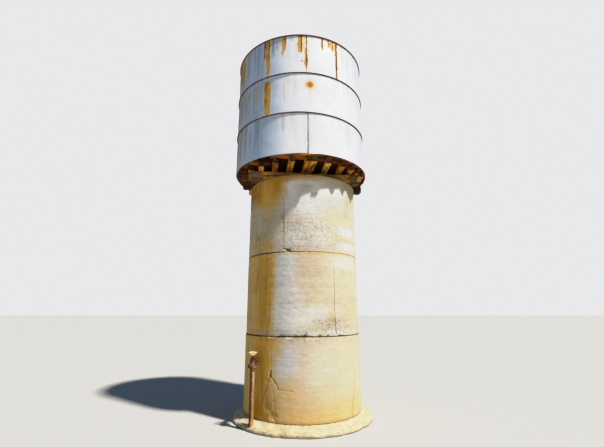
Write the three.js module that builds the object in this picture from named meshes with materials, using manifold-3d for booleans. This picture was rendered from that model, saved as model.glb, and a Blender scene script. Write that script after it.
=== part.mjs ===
// Water tower: a sheet-steel tank on a timber platform, on a round concrete shaft cast in three lifts,
// with an angle valve on a standpipe beside it.
// Millimetres, +Z up. The origin is the centre of the footing's underside and the front faces -Y.
import * as THREE from 'three';
import { mergeVertices } from 'three/addons/utils/BufferGeometryUtils.js';
import Module from 'manifold-3d';

const wasm = await Module();
wasm.setup();

// Running gap between pieces that touch, and overlap of solids that are joined or cut
const GAP = 0.3;
const OVERLAP = 1;

// Concrete: footing and shaft
const SHAFT_RADIUS = 1219;
const LOWER_LIFT_RADIUS = 1229;
const WALL_THICKNESS = 200;
const LIFT_CHAMFER = 12;
const FOOTING_RADIUS = 1460;
const FOOTING_HEIGHT = 150;
const FOOTING_EDGE_HEIGHT = 80;
const FOOTING_EDGE_ROUNDING = 30;
const LOWER_LIFT_TOP = 1639;
const MIDDLE_LIFT_TOP = 3252;
const SHAFT_TOP = 4872;

// Timber platform, turned a little against the shaft's front
const PLATFORM_TURN = 7.8;
const BEAM_DEPTH = 166;
const BEAM_WIDTH = 170;
const BUILT_UP_BEAM_LENGTH = 2440;
const FRONT_BEAM_OFFSET = -705;
const REAR_BEAM_OFFSET = 775;
const BUILT_UP_BEAM_SHIFT = 30;
const FRONT_BEAM_SKEW = -1.2;
const BEAM_GROOVE = 8;
const MIDDLE_BEAM_OFFSET = -115;
const MIDDLE_BEAM_LENGTH = 2820;
const JOIST_DEPTH = 122;
const JOIST_WIDTH = 115;
const JOIST_OVERHANG = 25;
const JOIST_PLACES = [-1230, -1015, -723, -405, -77, 39, 350, 682, 917, 1095, 1225];
const DECK_RADIUS = 1535;
const DECK_OFFSET = -22;
const PLANK_THICKNESS = 50;
const PLANK_GAP = 8;
const PLANK_BUTT = -19;
const LEFT_PLANK_WIDTHS = [256, 236, 190, 189, 335, 240];
const RIGHT_PLANK_WIDTHS = [183, 122, 214, 290, 300, 337];
const REAR_PLANK_WIDTHS = [325, 325, 325, 325, 324];
const PLANK_END_STEPS = 4;

// Tank: three courses of three lapped sheets, with angle hoops
const TANK_OFFSET = -63;
const TANK_RADIUS = 1524;
const SHEET_THICKNESS = 3;
const SHEETS_PER_COURSE = 3;
const LAP_ANGLE = 1.8;
const JOGGLE_ANGLE = 0.25;
const BOTTOM_SEAM_ANGLE = 7;
const MIDDLE_SEAM_ANGLE = 73;
const TOP_SEAM_ANGLE = 33;
const LOWER_HOOP_HEIGHT = 6129;
const UPPER_HOOP_HEIGHT = 7072;
const RIM_HEIGHT = 8028;
const ANGLE_LEG = 22;
const ANGLE_THICKNESS = 4;
const FLOOR_THICKNESS = 5;
const ROOF_RISE = 260;
const ROOF_THICKNESS = 4;

// Standpipe with its angle valve
const STANDPIPE_X = -935;
const STANDPIPE_Y = -1045;
const RISER_RADIUS = 44.5;
const RISER_TOP = 1110;
const FLANGE_RADIUS = 95;
const FLANGE_THICKNESS = 18;
const BRANCH_RADIUS = 36.5;
const BRANCH_FLANGE_RADIUS = 70;
const OUTLET_HEIGHT = 1178;
const OUTLET_REACH = 122;
const OUTLET_RADIUS = 38;
const VALVE_NECK_RADIUS = 41;
const VALVE_BULB_RADIUS = 47;
const VALVE_BULB_HALF_HEIGHT = 24;
const BONNET_RADIUS = 44;
const BONNET_BASE = 1222;
const BONNET_TOP = 1248;
const BONNET_NECK_RADIUS = 36;
const BONNET_NECK_TOP = 1266;
const GLAND_RADIUS = 24;
const GLAND_TOP = 1284;
const STEM_RADIUS = 9;
const STEM_CLEARANCE = 0.6;
const STEM_END_CLEARANCE = 4;
const STEM_BOTTOM = 1240;
const STEM_TOP = 1362;
const WHEEL_RIM_HEIGHT = 1345;
const WHEEL_RADIUS = 83;
const WHEEL_RIM_RADIUS = 10;
const WHEEL_HUB_RADIUS = 20;
const WHEEL_HUB_BOTTOM = 1290;
const WHEEL_HUB_TOP = 1318;
const WHEEL_SPOKES = 5;
const SPOKE_RADIUS = 9;

// Round pieces are regular polygons with a corner at the front, so that rings fit each other
const FACETS = 60;
const FACET_ANGLE = 360 / FACETS;
const FITTING_FACETS = 20;
const STEM_FACETS = 16;
const WHEEL_FACETS = 40;
const RIM_SECTION_FACETS = 10;

const concrete = { color: 0xb3a283, roughness: 0.93, metalness: 0 };
const footingConcrete = { color: 0xcfc4a6, roughness: 0.95, metalness: 0 };
const timber = { color: 0x6f4a26, roughness: 0.85, metalness: 0 };
const whiteSteel = { color: 0xd9dadb, roughness: 0.5, metalness: 0.2 };
const rustySteel = { color: 0x5b3a28, roughness: 0.8, metalness: 0.4 };
const rustyPipe = { color: 0xa8764f, roughness: 0.7, metalness: 0.4 };
const castIron = { color: 0x3d2a22, roughness: 0.75, metalness: 0.5 };
const wheelPaint = { color: 0xe2bf86, roughness: 0.5, metalness: 0.2 };

const radians = THREE.MathUtils.degToRad;

// A named mesh with a material of its own
function piece(name, geometry, finish) {
  const mesh = new THREE.Mesh(geometry, new THREE.MeshStandardMaterial(finish));
  mesh.name = name;
  return mesh;
}

// A profile of [radius, height] corners, counter-clockwise, turned about the vertical axis
function turned(profile, facets = FACETS) {
  const corners = profile.map(([radius, height]) => new THREE.Vector2(radius, height));
  return new THREE.LatheGeometry(corners, facets).rotateX(Math.PI / 2);
}

// A ring: the same with a profile that closes on itself
function ring(profile) {
  return turned([...profile, profile[0]]);
}

// A flat outline of points raised to a thickness
function raised(outline, thickness) {
  return new THREE.ExtrudeGeometry(new THREE.Shape(outline), { depth: thickness, bevelEnabled: false });
}

// Merged vertices without the needle triangles that a turned profile leaves on its axis
function toSolid(geometry) {
  const bare = geometry.clone();
  bare.deleteAttribute('normal');
  bare.deleteAttribute('uv');
  const merged = mergeVertices(bare, 1e-3);
  const corners = merged.index.array;
  const kept = [];
  for (let first = 0; first < corners.length; first += 3) {
    const [a, b, c] = corners.slice(first, first + 3);
    if (a !== b && b !== c && c !== a) {
      kept.push(a, b, c);
    }
  }
  return new wasm.Manifold(new wasm.Mesh({
    numProp: 3,
    vertProperties: new Float32Array(merged.attributes.position.array),
    triVerts: new Uint32Array(kept),
  }));
}

function fromSolid(solid) {
  const mesh = solid.getMesh();
  const geometry = new THREE.BufferGeometry();
  geometry.setAttribute('position', new THREE.BufferAttribute(mesh.vertProperties, 3));
  geometry.setIndex(new THREE.BufferAttribute(mesh.triVerts, 1));
  geometry.computeVertexNormals();
  return geometry;
}

// Point at an angle on the polygon with the given corner radius, counted from the front towards +X
function planPoint(radius, angle) {
  const halfFacet = FACET_ANGLE / 2;
  const withinFacet = THREE.MathUtils.euclideanModulo(angle, FACET_ANGLE) - halfFacet;
  const reach = radius * Math.cos(radians(halfFacet)) / Math.cos(radians(withinFacet));
  return new THREE.Vector2(reach * Math.sin(radians(angle)), -reach * Math.cos(radians(angle)));
}

// The polygon from one angle up to another, both ends included
function planArc(radius, from, to) {
  const points = [planPoint(radius, from)];
  for (let corner = Math.floor(from / FACET_ANGLE) + 1; corner * FACET_ANGLE < to; corner += 1) {
    points.push(planPoint(radius, corner * FACET_ANGLE));
  }
  points.push(planPoint(radius, to));
  return points;
}

// Footing: a round slab whose collar falls away from the shaft
function footing() {
  return turned([
    [0, 0],
    [FOOTING_RADIUS, 0],
    [FOOTING_RADIUS, FOOTING_EDGE_HEIGHT - FOOTING_EDGE_ROUNDING],
    [FOOTING_RADIUS - FOOTING_EDGE_ROUNDING, FOOTING_EDGE_HEIGHT],
    [LOWER_LIFT_RADIUS, FOOTING_HEIGHT],
    [0, FOOTING_HEIGHT],
  ]);
}

// One lift of the shaft: a concrete ring with the arrises of its joints knocked off
function lift(radius, bottom, top) {
  const inner = SHAFT_RADIUS - WALL_THICKNESS;
  return ring([
    [inner, bottom],
    [radius - LIFT_CHAMFER, bottom],
    [radius, bottom + LIFT_CHAMFER],
    [radius, top - LIFT_CHAMFER],
    [radius - LIFT_CHAMFER, top],
    [inner, top],
  ]);
}

function shaft() {
  const group = new THREE.Group();
  group.add(piece('lower_lift', lift(LOWER_LIFT_RADIUS, FOOTING_HEIGHT + GAP, LOWER_LIFT_TOP), concrete));
  group.add(piece('middle_lift', lift(SHAFT_RADIUS, LOWER_LIFT_TOP + GAP, MIDDLE_LIFT_TOP), concrete));
  group.add(piece('upper_lift', lift(SHAFT_RADIUS, MIDDLE_LIFT_TOP + GAP, SHAFT_TOP), concrete));
  return group;
}

// Two timbers bolted side by side: one beam with a groove above and below where they meet
function builtUpBeam() {
  const outline = [
    [-BEAM_WIDTH, 0],
    [-BEAM_GROOVE / 2, 0],
    [0, BEAM_GROOVE],
    [BEAM_GROOVE / 2, 0],
    [BEAM_WIDTH, 0],
    [BEAM_WIDTH, BEAM_DEPTH - GAP],
    [BEAM_GROOVE / 2, BEAM_DEPTH - GAP],
    [0, BEAM_DEPTH - GAP - BEAM_GROOVE],
    [-BEAM_GROOVE / 2, BEAM_DEPTH - GAP],
    [-BEAM_WIDTH, BEAM_DEPTH - GAP],
  ].map(([across, up]) => new THREE.Vector2(across, up));
  const beam = raised(outline, BUILT_UP_BEAM_LENGTH);
  beam.translate(0, 0, -BUILT_UP_BEAM_LENGTH / 2);
  return beam.rotateX(Math.PI / 2).rotateZ(Math.PI / 2);
}

function middleBeam() {
  const beam = new THREE.BoxGeometry(MIDDLE_BEAM_LENGTH, BEAM_WIDTH, BEAM_DEPTH - GAP);
  return beam.translate(0, 0, (BEAM_DEPTH - GAP) / 2);
}

// A joist runs from edge to edge of the round deck and a little past it
function joist(place) {
  const outerSide = Math.abs(place - DECK_OFFSET) + JOIST_WIDTH / 2;
  const halfLength = Math.sqrt(DECK_RADIUS ** 2 - outerSide ** 2) + JOIST_OVERHANG;
  const bar = new THREE.BoxGeometry(JOIST_WIDTH, 2 * halfLength, JOIST_DEPTH - GAP);
  return bar.translate(place, 0, (JOIST_DEPTH - GAP) / 2);
}

// Points along the round deck's edge, between two lines across it, on the left (side -1) or the right (side 1)
function deckEdge(near, far, side) {
  const from = Math.asin(near / DECK_RADIUS);
  const to = Math.asin(far / DECK_RADIUS);
  const points = [];
  for (let step = 0; step <= PLANK_END_STEPS; step += 1) {
    const angle = THREE.MathUtils.lerp(from, to, step / PLANK_END_STEPS);
    points.push(new THREE.Vector2(side * DECK_RADIUS * Math.cos(angle), DECK_RADIUS * Math.sin(angle)));
  }
  return points;
}

// The outline of a plank whose outer end is sawn to the circle and whose inner end butts over the pair of
// joists near the middle
function shortPlank(near, far, side) {
  const butt = PLANK_BUTT - DECK_OFFSET + side * PLANK_GAP / 2;
  return [...deckEdge(near, far, side), new THREE.Vector2(butt, far), new THREE.Vector2(butt, near)];
}

// The outline of a plank from edge to edge of the deck
function longPlank(near, far) {
  return [...deckEdge(near, far, 1), ...deckEdge(near, far, -1).reverse()];
}

// Planks of one outline laid side by side towards the back, from a line across the deck
function planks(name, start, widths, outline) {
  const group = new THREE.Group();
  const edgeTrim = PLANK_GAP / 2;
  let near = start;
  widths.forEach((width, index) => {
    const board = raised(outline(near + edgeTrim, near + width - edgeTrim), PLANK_THICKNESS - GAP);
    group.add(piece(`deck_plank_${name}_${index + 1}`, board, timber));
    near += width;
  });
  return group;
}

function deck() {
  const group = new THREE.Group();
  group.position.x = DECK_OFFSET;
  const rearStart = LEFT_PLANK_WIDTHS.reduce((sum, width) => sum + width, -DECK_RADIUS);
  group.add(
    planks('left', -DECK_RADIUS, LEFT_PLANK_WIDTHS, (near, far) => shortPlank(near, far, -1)),
    planks('right', -DECK_RADIUS, RIGHT_PLANK_WIDTHS, (near, far) => shortPlank(near, far, 1)),
    planks('rear', rearStart, REAR_PLANK_WIDTHS, longPlank),
  );
  return group;
}

function platform() {
  const group = new THREE.Group();
  group.rotation.z = radians(PLATFORM_TURN);

  const beams = new THREE.Group();
  beams.position.z = SHAFT_TOP + GAP;
  const frontBeam = piece('front_beam', builtUpBeam(), timber);
  frontBeam.position.set(-BUILT_UP_BEAM_SHIFT, FRONT_BEAM_OFFSET, 0);
  frontBeam.rotation.z = radians(FRONT_BEAM_SKEW);
  const crossBeam = piece('middle_beam', middleBeam(), timber);
  crossBeam.position.y = MIDDLE_BEAM_OFFSET;
  const rearBeam = piece('rear_beam', builtUpBeam(), timber);
  rearBeam.position.set(BUILT_UP_BEAM_SHIFT, REAR_BEAM_OFFSET, 0);
  beams.add(frontBeam, crossBeam, rearBeam);

  const joists = new THREE.Group();
  joists.position.z = SHAFT_TOP + BEAM_DEPTH + GAP;
  JOIST_PLACES.forEach((place, index) => {
    joists.add(piece(`joist_${index + 1}`, joist(place), timber));
  });

  const boards = deck();
  boards.position.z = SHAFT_TOP + BEAM_DEPTH + JOIST_DEPTH + GAP;
  group.add(beams, joists, boards);
  return group;
}

// A rolled sheet from one seam to the next. Its far end is set in by one thickness, so that it
// lies behind the next sheet's edge for the width of the lap.
function rolledSheet(seam, height) {
  const outer = TANK_RADIUS;
  const inner = outer - SHEET_THICKNESS;
  const lapOuter = inner - GAP;
  const lapInner = lapOuter - SHEET_THICKNESS;
  const gapAngle = THREE.MathUtils.radToDeg(GAP / outer);
  const start = seam + gapAngle;
  const end = seam + 360 / SHEETS_PER_COURSE;
  const outerSide = planArc(outer, start, end - JOGGLE_ANGLE);
  const lapOutside = planArc(lapOuter, end, end + LAP_ANGLE);
  const lapInside = planArc(lapInner, end - JOGGLE_ANGLE, end + LAP_ANGLE).reverse();
  const innerSide = planArc(inner, start, end - 2 * JOGGLE_ANGLE).reverse();
  return raised([...outerSide, ...lapOutside, ...lapInside, ...innerSide], height);
}

function course(name, seam, bottom, top) {
  const group = new THREE.Group();
  group.position.z = bottom + GAP;
  for (let index = 0; index < SHEETS_PER_COURSE; index += 1) {
    const sheetSeam = seam + index * 360 / SHEETS_PER_COURSE;
    const sheet = rolledSheet(sheetSeam, top - bottom - GAP);
    group.add(piece(`${name}_sheet_${index + 1}`, sheet, whiteSteel));
  }
  return group;
}

// An angle bar bent round the tank, its flat leg outwards at the top
function angleHoop(top) {
  const inner = TANK_RADIUS + GAP;
  return ring([
    [inner, top - ANGLE_LEG],
    [inner + ANGLE_THICKNESS, top - ANGLE_LEG],
    [inner + ANGLE_THICKNESS, top - ANGLE_THICKNESS],
    [inner + ANGLE_LEG, top - ANGLE_THICKNESS],
    [inner + ANGLE_LEG, top],
    [inner, top],
  ]);
}

function tankFloor(bottom) {
  const radius = TANK_RADIUS - 2 * SHEET_THICKNESS - 2 * GAP;
  return turned([
    [0, bottom],
    [radius, bottom],
    [radius, bottom + FLOOR_THICKNESS],
    [0, bottom + FLOOR_THICKNESS],
  ]);
}

// A low cone of sheet that bears on the outer edge of the rim angle
function roof() {
  const eaveRadius = TANK_RADIUS + GAP + ANGLE_LEG;
  const eave = RIM_HEIGHT + GAP;
  return turned([
    [0, eave + ROOF_RISE],
    [eaveRadius, eave],
    [eaveRadius, eave + ROOF_THICKNESS],
    [0, eave + ROOF_RISE + ROOF_THICKNESS],
  ]);
}

function tank() {
  const base = SHAFT_TOP + BEAM_DEPTH + JOIST_DEPTH + PLANK_THICKNESS;
  const hoopHalf = ANGLE_LEG / 2;
  const group = new THREE.Group();
  group.position.x = TANK_OFFSET;
  group.add(piece('tank_floor', tankFloor(base + GAP), whiteSteel));
  group.add(course('bottom', BOTTOM_SEAM_ANGLE, base, LOWER_HOOP_HEIGHT));
  group.add(course('middle', MIDDLE_SEAM_ANGLE, LOWER_HOOP_HEIGHT, UPPER_HOOP_HEIGHT));
  group.add(course('top', TOP_SEAM_ANGLE, UPPER_HOOP_HEIGHT, RIM_HEIGHT));
  group.add(piece('lower_hoop', angleHoop(LOWER_HOOP_HEIGHT + hoopHalf), rustySteel));
  group.add(piece('upper_hoop', angleHoop(UPPER_HOOP_HEIGHT + hoopHalf), rustySteel));
  group.add(piece('rim_angle', angleHoop(RIM_HEIGHT), rustySteel));
  group.add(piece('tank_roof', roof(), whiteSteel));
  return group;
}

// The riser stands on the footing's slope and ends in a flange
function riser() {
  const buriedEnd = FOOTING_EDGE_HEIGHT / 2;
  const bar = turned([
    [0, buriedEnd],
    [RISER_RADIUS, buriedEnd],
    [RISER_RADIUS, RISER_TOP - FLANGE_THICKNESS],
    [FLANGE_RADIUS, RISER_TOP - FLANGE_THICKNESS],
    [FLANGE_RADIUS, RISER_TOP],
    [0, RISER_TOP],
  ], FITTING_FACETS).translate(STANDPIPE_X, STANDPIPE_Y, 0);
  return fromSolid(toSolid(bar).subtract(toSolid(footing().translate(0, 0, GAP))));
}

// A round bar along +Y from one place to another
function barAlongY(radius, from, to) {
  const bar = new THREE.CylinderGeometry(radius, radius, to - from, FITTING_FACETS);
  return bar.translate(0, (from + to) / 2, 0);
}

// The valve's casting: inlet flange, neck, slight bulb, screwed bonnet and gland, with the outlet at the back
function valveBody() {
  const bottom = RISER_TOP + GAP;
  const upright = toSolid(turned([
    [0, bottom],
    [FLANGE_RADIUS, bottom],
    [FLANGE_RADIUS, bottom + FLANGE_THICKNESS],
    [VALVE_NECK_RADIUS, bottom + FLANGE_THICKNESS],
    [VALVE_BULB_RADIUS, OUTLET_HEIGHT - VALVE_BULB_HALF_HEIGHT],
    [VALVE_BULB_RADIUS, OUTLET_HEIGHT + VALVE_BULB_HALF_HEIGHT],
    [VALVE_NECK_RADIUS, BONNET_BASE],
    [BONNET_RADIUS, BONNET_BASE],
    [BONNET_RADIUS, BONNET_TOP],
    [BONNET_NECK_RADIUS, BONNET_TOP],
    [BONNET_NECK_RADIUS, BONNET_NECK_TOP],
    [GLAND_RADIUS, BONNET_NECK_TOP],
    [GLAND_RADIUS, GLAND_TOP],
    [0, GLAND_TOP],
  ], FITTING_FACETS));
  const outlet = toSolid(barAlongY(OUTLET_RADIUS, 0, OUTLET_REACH).translate(0, 0, OUTLET_HEIGHT));
  const outletFlange = toSolid(
    barAlongY(BRANCH_FLANGE_RADIUS, OUTLET_REACH - FLANGE_THICKNESS, OUTLET_REACH).translate(0, 0, OUTLET_HEIGHT));
  const boreRadius = STEM_RADIUS + STEM_CLEARANCE;
  const boreBottom = STEM_BOTTOM - STEM_END_CLEARANCE;
  const boreTop = GLAND_TOP + OVERLAP;
  const stemBore = toSolid(turned([
    [0, boreBottom],
    [boreRadius, boreBottom],
    [boreRadius, boreTop],
    [0, boreTop],
  ], STEM_FACETS));
  const body = upright.add(outlet).add(outletFlange).subtract(stemBore);
  return fromSolid(body).translate(STANDPIPE_X, STANDPIPE_Y, 0);
}

// The branch runs from the valve's outlet to the shaft, its end shaped to the round wall
function branchPipe() {
  const start = OUTLET_REACH + GAP;
  const bar = toSolid(barAlongY(BRANCH_RADIUS, start + FLANGE_THICKNESS - OVERLAP, -STANDPIPE_Y));
  const flange = toSolid(barAlongY(BRANCH_FLANGE_RADIUS, start, start + FLANGE_THICKNESS));
  const pipe = fromSolid(bar.add(flange)).translate(STANDPIPE_X, STANDPIPE_Y, OUTLET_HEIGHT);
  const wallRadius = LOWER_LIFT_RADIUS + GAP;
  const wall = turned([
    [0, 0],
    [wallRadius, 0],
    [wallRadius, LOWER_LIFT_TOP],
    [0, LOWER_LIFT_TOP],
  ]);
  return fromSolid(toSolid(pipe).subtract(toSolid(wall)));
}

// The handwheel: a dished wheel whose spokes rise from the hub to the rim, and the stem that turns with it
function handwheel() {
  const rim = new THREE.TorusGeometry(WHEEL_RADIUS, WHEEL_RIM_RADIUS, RIM_SECTION_FACETS, WHEEL_FACETS);
  let wheel = toSolid(rim.translate(0, 0, WHEEL_RIM_HEIGHT)).add(toSolid(turned([
    [0, STEM_BOTTOM],
    [STEM_RADIUS, STEM_BOTTOM],
    [STEM_RADIUS, WHEEL_HUB_BOTTOM],
    [WHEEL_HUB_RADIUS, WHEEL_HUB_BOTTOM],
    [WHEEL_HUB_RADIUS, WHEEL_HUB_TOP],
    [STEM_RADIUS, WHEEL_HUB_TOP],
    [STEM_RADIUS, STEM_TOP],
    [0, STEM_TOP],
  ], STEM_FACETS)));
  const hubMiddle = (WHEEL_HUB_BOTTOM + WHEEL_HUB_TOP) / 2;
  const dish = WHEEL_RIM_HEIGHT - hubMiddle;
  for (let index = 0; index < WHEEL_SPOKES; index += 1) {
    const spoke = barAlongY(SPOKE_RADIUS, 0, Math.hypot(WHEEL_RADIUS, dish));
    spoke.rotateX(Math.atan2(dish, WHEEL_RADIUS)).translate(0, 0, hubMiddle);
    wheel = wheel.add(toSolid(spoke.rotateZ(radians(index * 360 / WHEEL_SPOKES))));
  }
  return fromSolid(wheel).translate(STANDPIPE_X, STANDPIPE_Y, 0);
}

function standpipe() {
  const group = new THREE.Group();
  group.add(piece('riser_pipe', riser(), rustyPipe));
  group.add(piece('valve_body', valveBody(), castIron));
  group.add(piece('branch_pipe', branchPipe(), rustyPipe));
  group.add(piece('handwheel', handwheel(), wheelPaint));
  return group;
}

const tower = new THREE.Group();
tower.add(piece('footing', footing(), footingConcrete), shaft(), platform(), tank(), standpipe());

export default tower;
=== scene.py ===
import math

import bpy
import numpy as np
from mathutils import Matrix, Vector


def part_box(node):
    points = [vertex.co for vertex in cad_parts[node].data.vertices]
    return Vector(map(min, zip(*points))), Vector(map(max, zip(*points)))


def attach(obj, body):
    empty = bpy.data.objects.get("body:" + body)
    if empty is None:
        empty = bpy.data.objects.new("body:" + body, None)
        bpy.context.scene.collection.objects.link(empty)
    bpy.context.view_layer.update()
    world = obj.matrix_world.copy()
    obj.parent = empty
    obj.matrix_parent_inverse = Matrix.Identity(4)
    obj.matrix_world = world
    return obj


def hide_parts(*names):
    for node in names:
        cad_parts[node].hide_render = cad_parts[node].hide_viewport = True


# A small water tower: a white sheet-steel tank with angle hoops on a timber platform, over a round concrete
# shaft in three lifts, with a standpipe and valve at its foot. Metres, +Z up. Angles are degrees from the
# front (-Y) towards +X.
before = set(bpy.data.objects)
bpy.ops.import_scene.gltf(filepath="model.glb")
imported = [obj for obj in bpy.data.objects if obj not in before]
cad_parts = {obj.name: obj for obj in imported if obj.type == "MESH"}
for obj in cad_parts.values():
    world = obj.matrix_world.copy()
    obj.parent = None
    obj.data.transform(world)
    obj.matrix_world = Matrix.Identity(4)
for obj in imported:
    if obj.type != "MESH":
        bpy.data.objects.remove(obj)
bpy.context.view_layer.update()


def corners(node):
    """The lowest and highest corner of a CAD node as arrays."""
    low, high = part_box(node)
    return np.array(low), np.array(high)


# The photo's camera: its place, how far it looks up, and its lens
CAMERA_PLACE = (-0.006, -8.14, 2.15)
CAMERA_PITCH = 13.58
CAMERA_LENS = 21.09
CAMERA_SENSOR = 36.0

# Light: a soft lamp high on the right, as the shadow of the tank on the shaft asks, and an even sky
KEY_ANGLE = 55.0
KEY_RISE = 59.0
KEY_SOFTNESS = 3.0
KEY_STRENGTH = 7.6
KEY_COLOUR = (1.0, 0.965, 0.90)
SKY_COLOUR = (0.48, 0.75, 1.18)
SKY_STRENGTH = 0.25
BACKDROP_COLOUR = (0.95, 0.97, 1.0)
FLOOR_SIZE = 240.0
FLOOR_COLOUR = (0.37, 0.355, 0.33)

# Tone curve: linear light as the film of the photo shows it. Below the first point nothing changes, and
# light up to WHITE_LEVEL still has tone.
WHITE_LEVEL = 2.0
TONE_POINTS = ((0.50, 0.49), (0.75, 0.73), (1.10, 0.85), (1.45, 0.94))

# Concrete
FOOTING_RADIUS = corners("footing")[1][0]
FOOTING_RIM_HEIGHT = 0.08
FOOTING_TOP = corners("footing")[1][2]
WALL_THICKNESS = 0.2
LIFTS = ("lower_lift", "middle_lift", "upper_lift")

# Platform, turned a little against the shaft's front
PLATFORM_TURN = 7.8
BEAM_SKEWS = {"front_beam": -1.2}
JOISTS = tuple(f"joist_{number}" for number in range(1, 12))
DECK_X = -0.022
DECK_RADIUS = 1.535
# Planks of each part of the deck: how many, and whether the left and the right end follow the round edge
PLANKS = {"left": (6, (True, False)), "right": (6, (False, True)), "rear": (5, (True, True))}

# Tank
TANK_X = (corners("tank_floor")[0][0] + corners("tank_floor")[1][0]) / 2
TANK_RADIUS = 1.524
SHEET_THICKNESS = 0.003
SHEET_SPAN = 120.0
LAP_DEGREES = 1.8
# Each course and the angle of its first vertical lap
COURSES = {"bottom": 7.0, "middle": 73.0, "top": 33.0}
HOOPS = ("lower_hoop", "upper_hoop", "rim_angle")
HOOP_LEG = 0.022
HOOP_THICKNESS = 0.004

# Standpipe and valve
PIPE_X, PIPE_Y = -0.935, -1.045
RISER_RADIUS = 0.0445
BRANCH_RADIUS = 0.0365
FLANGE_RADIUS = 0.095
FLANGE_THICKNESS = 0.018
RISER_TOP = corners("riser_pipe")[1][2]
OUTLET_HEIGHT = 1.178
OUTLET_REACH = 0.122
SMALL_FLANGE_RADIUS = 0.07
BONNET_BASE = 1.222
BONNET_TOP = 1.248
GLAND_BASE = 1.266
GLAND_TOP = 1.284
WHEEL_HEIGHT = 1.345
WHEEL_RADIUS = 0.083
HUB_BOTTOM = 1.290
HUB_TOP = 1.318
STEM_TOP = corners("handwheel")[1][2]
STEM_BOTTOM = corners("handwheel")[0][2]


# Noise in arrays

NOISE_COLUMNS = 1024
NOISE_ROWS = 128


def wave_noise(across, along, seed, wrap=NOISE_COLUMNS):
    """Smooth noise from -1 to 1: random values at whole numbers, blended by t*t*(3 - 2t). It repeats across
    after wrap cells."""
    table = np.random.default_rng(seed).uniform(-1, 1, (NOISE_COLUMNS, NOISE_ROWS))
    across, along = np.broadcast_arrays(np.asarray(across, float), np.asarray(along, float))
    column, row = np.floor(across).astype(int), np.floor(along).astype(int)
    right, up = across - column, along - row
    right, up = right * right * (3 - 2 * right), up * up * (3 - 2 * up)
    here, beside = column % wrap, (column + 1) % wrap
    low, high = row % NOISE_ROWS, (row + 1) % NOISE_ROWS
    bottom = table[here, low] * (1 - right) + table[beside, low] * right
    top = table[here, high] * (1 - right) + table[beside, high] * right
    return bottom * (1 - up) + top * up


def rough_noise(across, along, seed, wrap=NOISE_COLUMNS, layers=4):
    """Layers of noise, each with twice the cells and half the height of the one before, about -1 to 1."""
    total = 0.0
    for layer in range(layers):
        finer = 2 ** layer
        cells = min(wrap * finer, NOISE_COLUMNS)
        total = total + wave_noise(across * finer, along * finer, seed + layer, cells) / finer
    return total


def eased_step(value, low, high):
    """0 below low, 1 above high and t*t*(3 - 2t) between them."""
    part = np.clip((value - low) / (high - low), 0, 1)
    return part * part * (3 - 2 * part)


# Shapes: each is its points and a list of face arrays

def grid_faces(rows, columns, rows_close=False, columns_close=False):
    """Quads of a grid of points kept row by row, each facing (along its row) x (towards the next row)."""
    row, column = np.meshgrid(np.arange(rows if rows_close else rows - 1),
                              np.arange(columns if columns_close else columns - 1), indexing="ij")
    next_row, next_column = (row + 1) % rows, (column + 1) % columns
    quads = (row * columns + column, row * columns + next_column,
             next_row * columns + next_column, next_row * columns + column)
    return np.stack(quads, axis=-1).reshape(-1, 4)


def closed_tube(loops):
    """A skin over closed loops of points, loops[step, around], with a fan of triangles over each end."""
    steps, around = loops.shape[:2]
    points = np.concatenate([loops.reshape(-1, 3), loops[:1].mean(axis=1), loops[-1:].mean(axis=1)])
    here = np.arange(around)
    beside = (here + 1) % around
    last = (steps - 1) * around
    start_fan = np.stack([np.full(around, steps * around), beside, here], axis=-1)
    end_fan = np.stack([np.full(around, steps * around + 1), here + last, beside + last], axis=-1)
    return points, [grid_faces(steps, around, columns_close=True), start_fan, end_fan]


def closed_ring(loops):
    """A skin over closed loops that also closes from the last loop to the first."""
    steps, around = loops.shape[:2]
    return loops.reshape(-1, 3), [grid_faces(steps, around, True, True)]


def slab(outer, inner):
    """A plate between two grids of points of one size, its four edges closed."""
    rows, columns = outer.shape[:2]
    count = rows * columns
    front = grid_faces(rows, columns)
    number = np.arange(count).reshape(rows, columns)
    edges = []
    for line in (number[0, ::-1], number[-1], number[:, 0], number[::-1, -1]):
        edges.append(np.stack([line[:-1], line[1:], line[1:] + count, line[:-1] + count], axis=-1))
    points = np.concatenate([outer.reshape(-1, 3), inner.reshape(-1, 3)])
    return points, [front, front[:, ::-1] + count] + edges


def joined(*shapes):
    """Several shapes as one: each one's point numbers are moved past those before it."""
    points, faces, count = [], [], 0
    for shape_points, shape_faces in shapes:
        points.append(shape_points)
        faces.extend(face + count for face in shape_faces)
        count += len(shape_points)
    return np.concatenate(points), faces


def on_cylinder(angle, radius, height, centre_x=0.0):
    """Points at an angle from the front, a radius and a height."""
    turn = np.radians(angle)
    parts = np.broadcast_arrays(centre_x + radius * np.sin(turn), -radius * np.cos(turn), height)
    return np.stack(parts, axis=-1)


def eased(profile, reach, steps=4):
    """A line whose inner corners become curves: entry, corner and exit blended by (1-t)^2, 2t(1-t) and t^2."""
    profile = np.asarray(profile, float)
    corner = profile[1:-1]
    back, ahead = profile[:-2] - corner, profile[2:] - corner
    back = back * np.minimum(0.45, reach / np.linalg.norm(back, axis=1))[:, None]
    ahead = ahead * np.minimum(0.45, reach / np.linalg.norm(ahead, axis=1))[:, None]
    t = np.linspace(0, 1, steps)[None, :, None]
    enter, leave, corner = (corner + back)[:, None], (corner + ahead)[:, None], corner[:, None]
    curve = (1 - t) ** 2 * enter + 2 * t * (1 - t) * corner + t * t * leave
    return np.concatenate([profile[:1], curve.reshape(-1, 2), profile[-1:]])


def turned(profile, count, centre=(0.0, 0.0, 0.0), lying=False):
    """A profile of (radius, height) carried round the Z axis, or round the Y axis where it is lying."""
    profile = np.asarray(profile, float)
    angle = np.linspace(0, 360, count, endpoint=False)
    loops = on_cylinder(angle[None, :], profile[:, :1], profile[:, 1:])
    if lying:
        loops = np.stack([loops[..., 0], loops[..., 2], -loops[..., 1]], axis=-1)
    return closed_tube(loops + np.asarray(centre))


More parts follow.
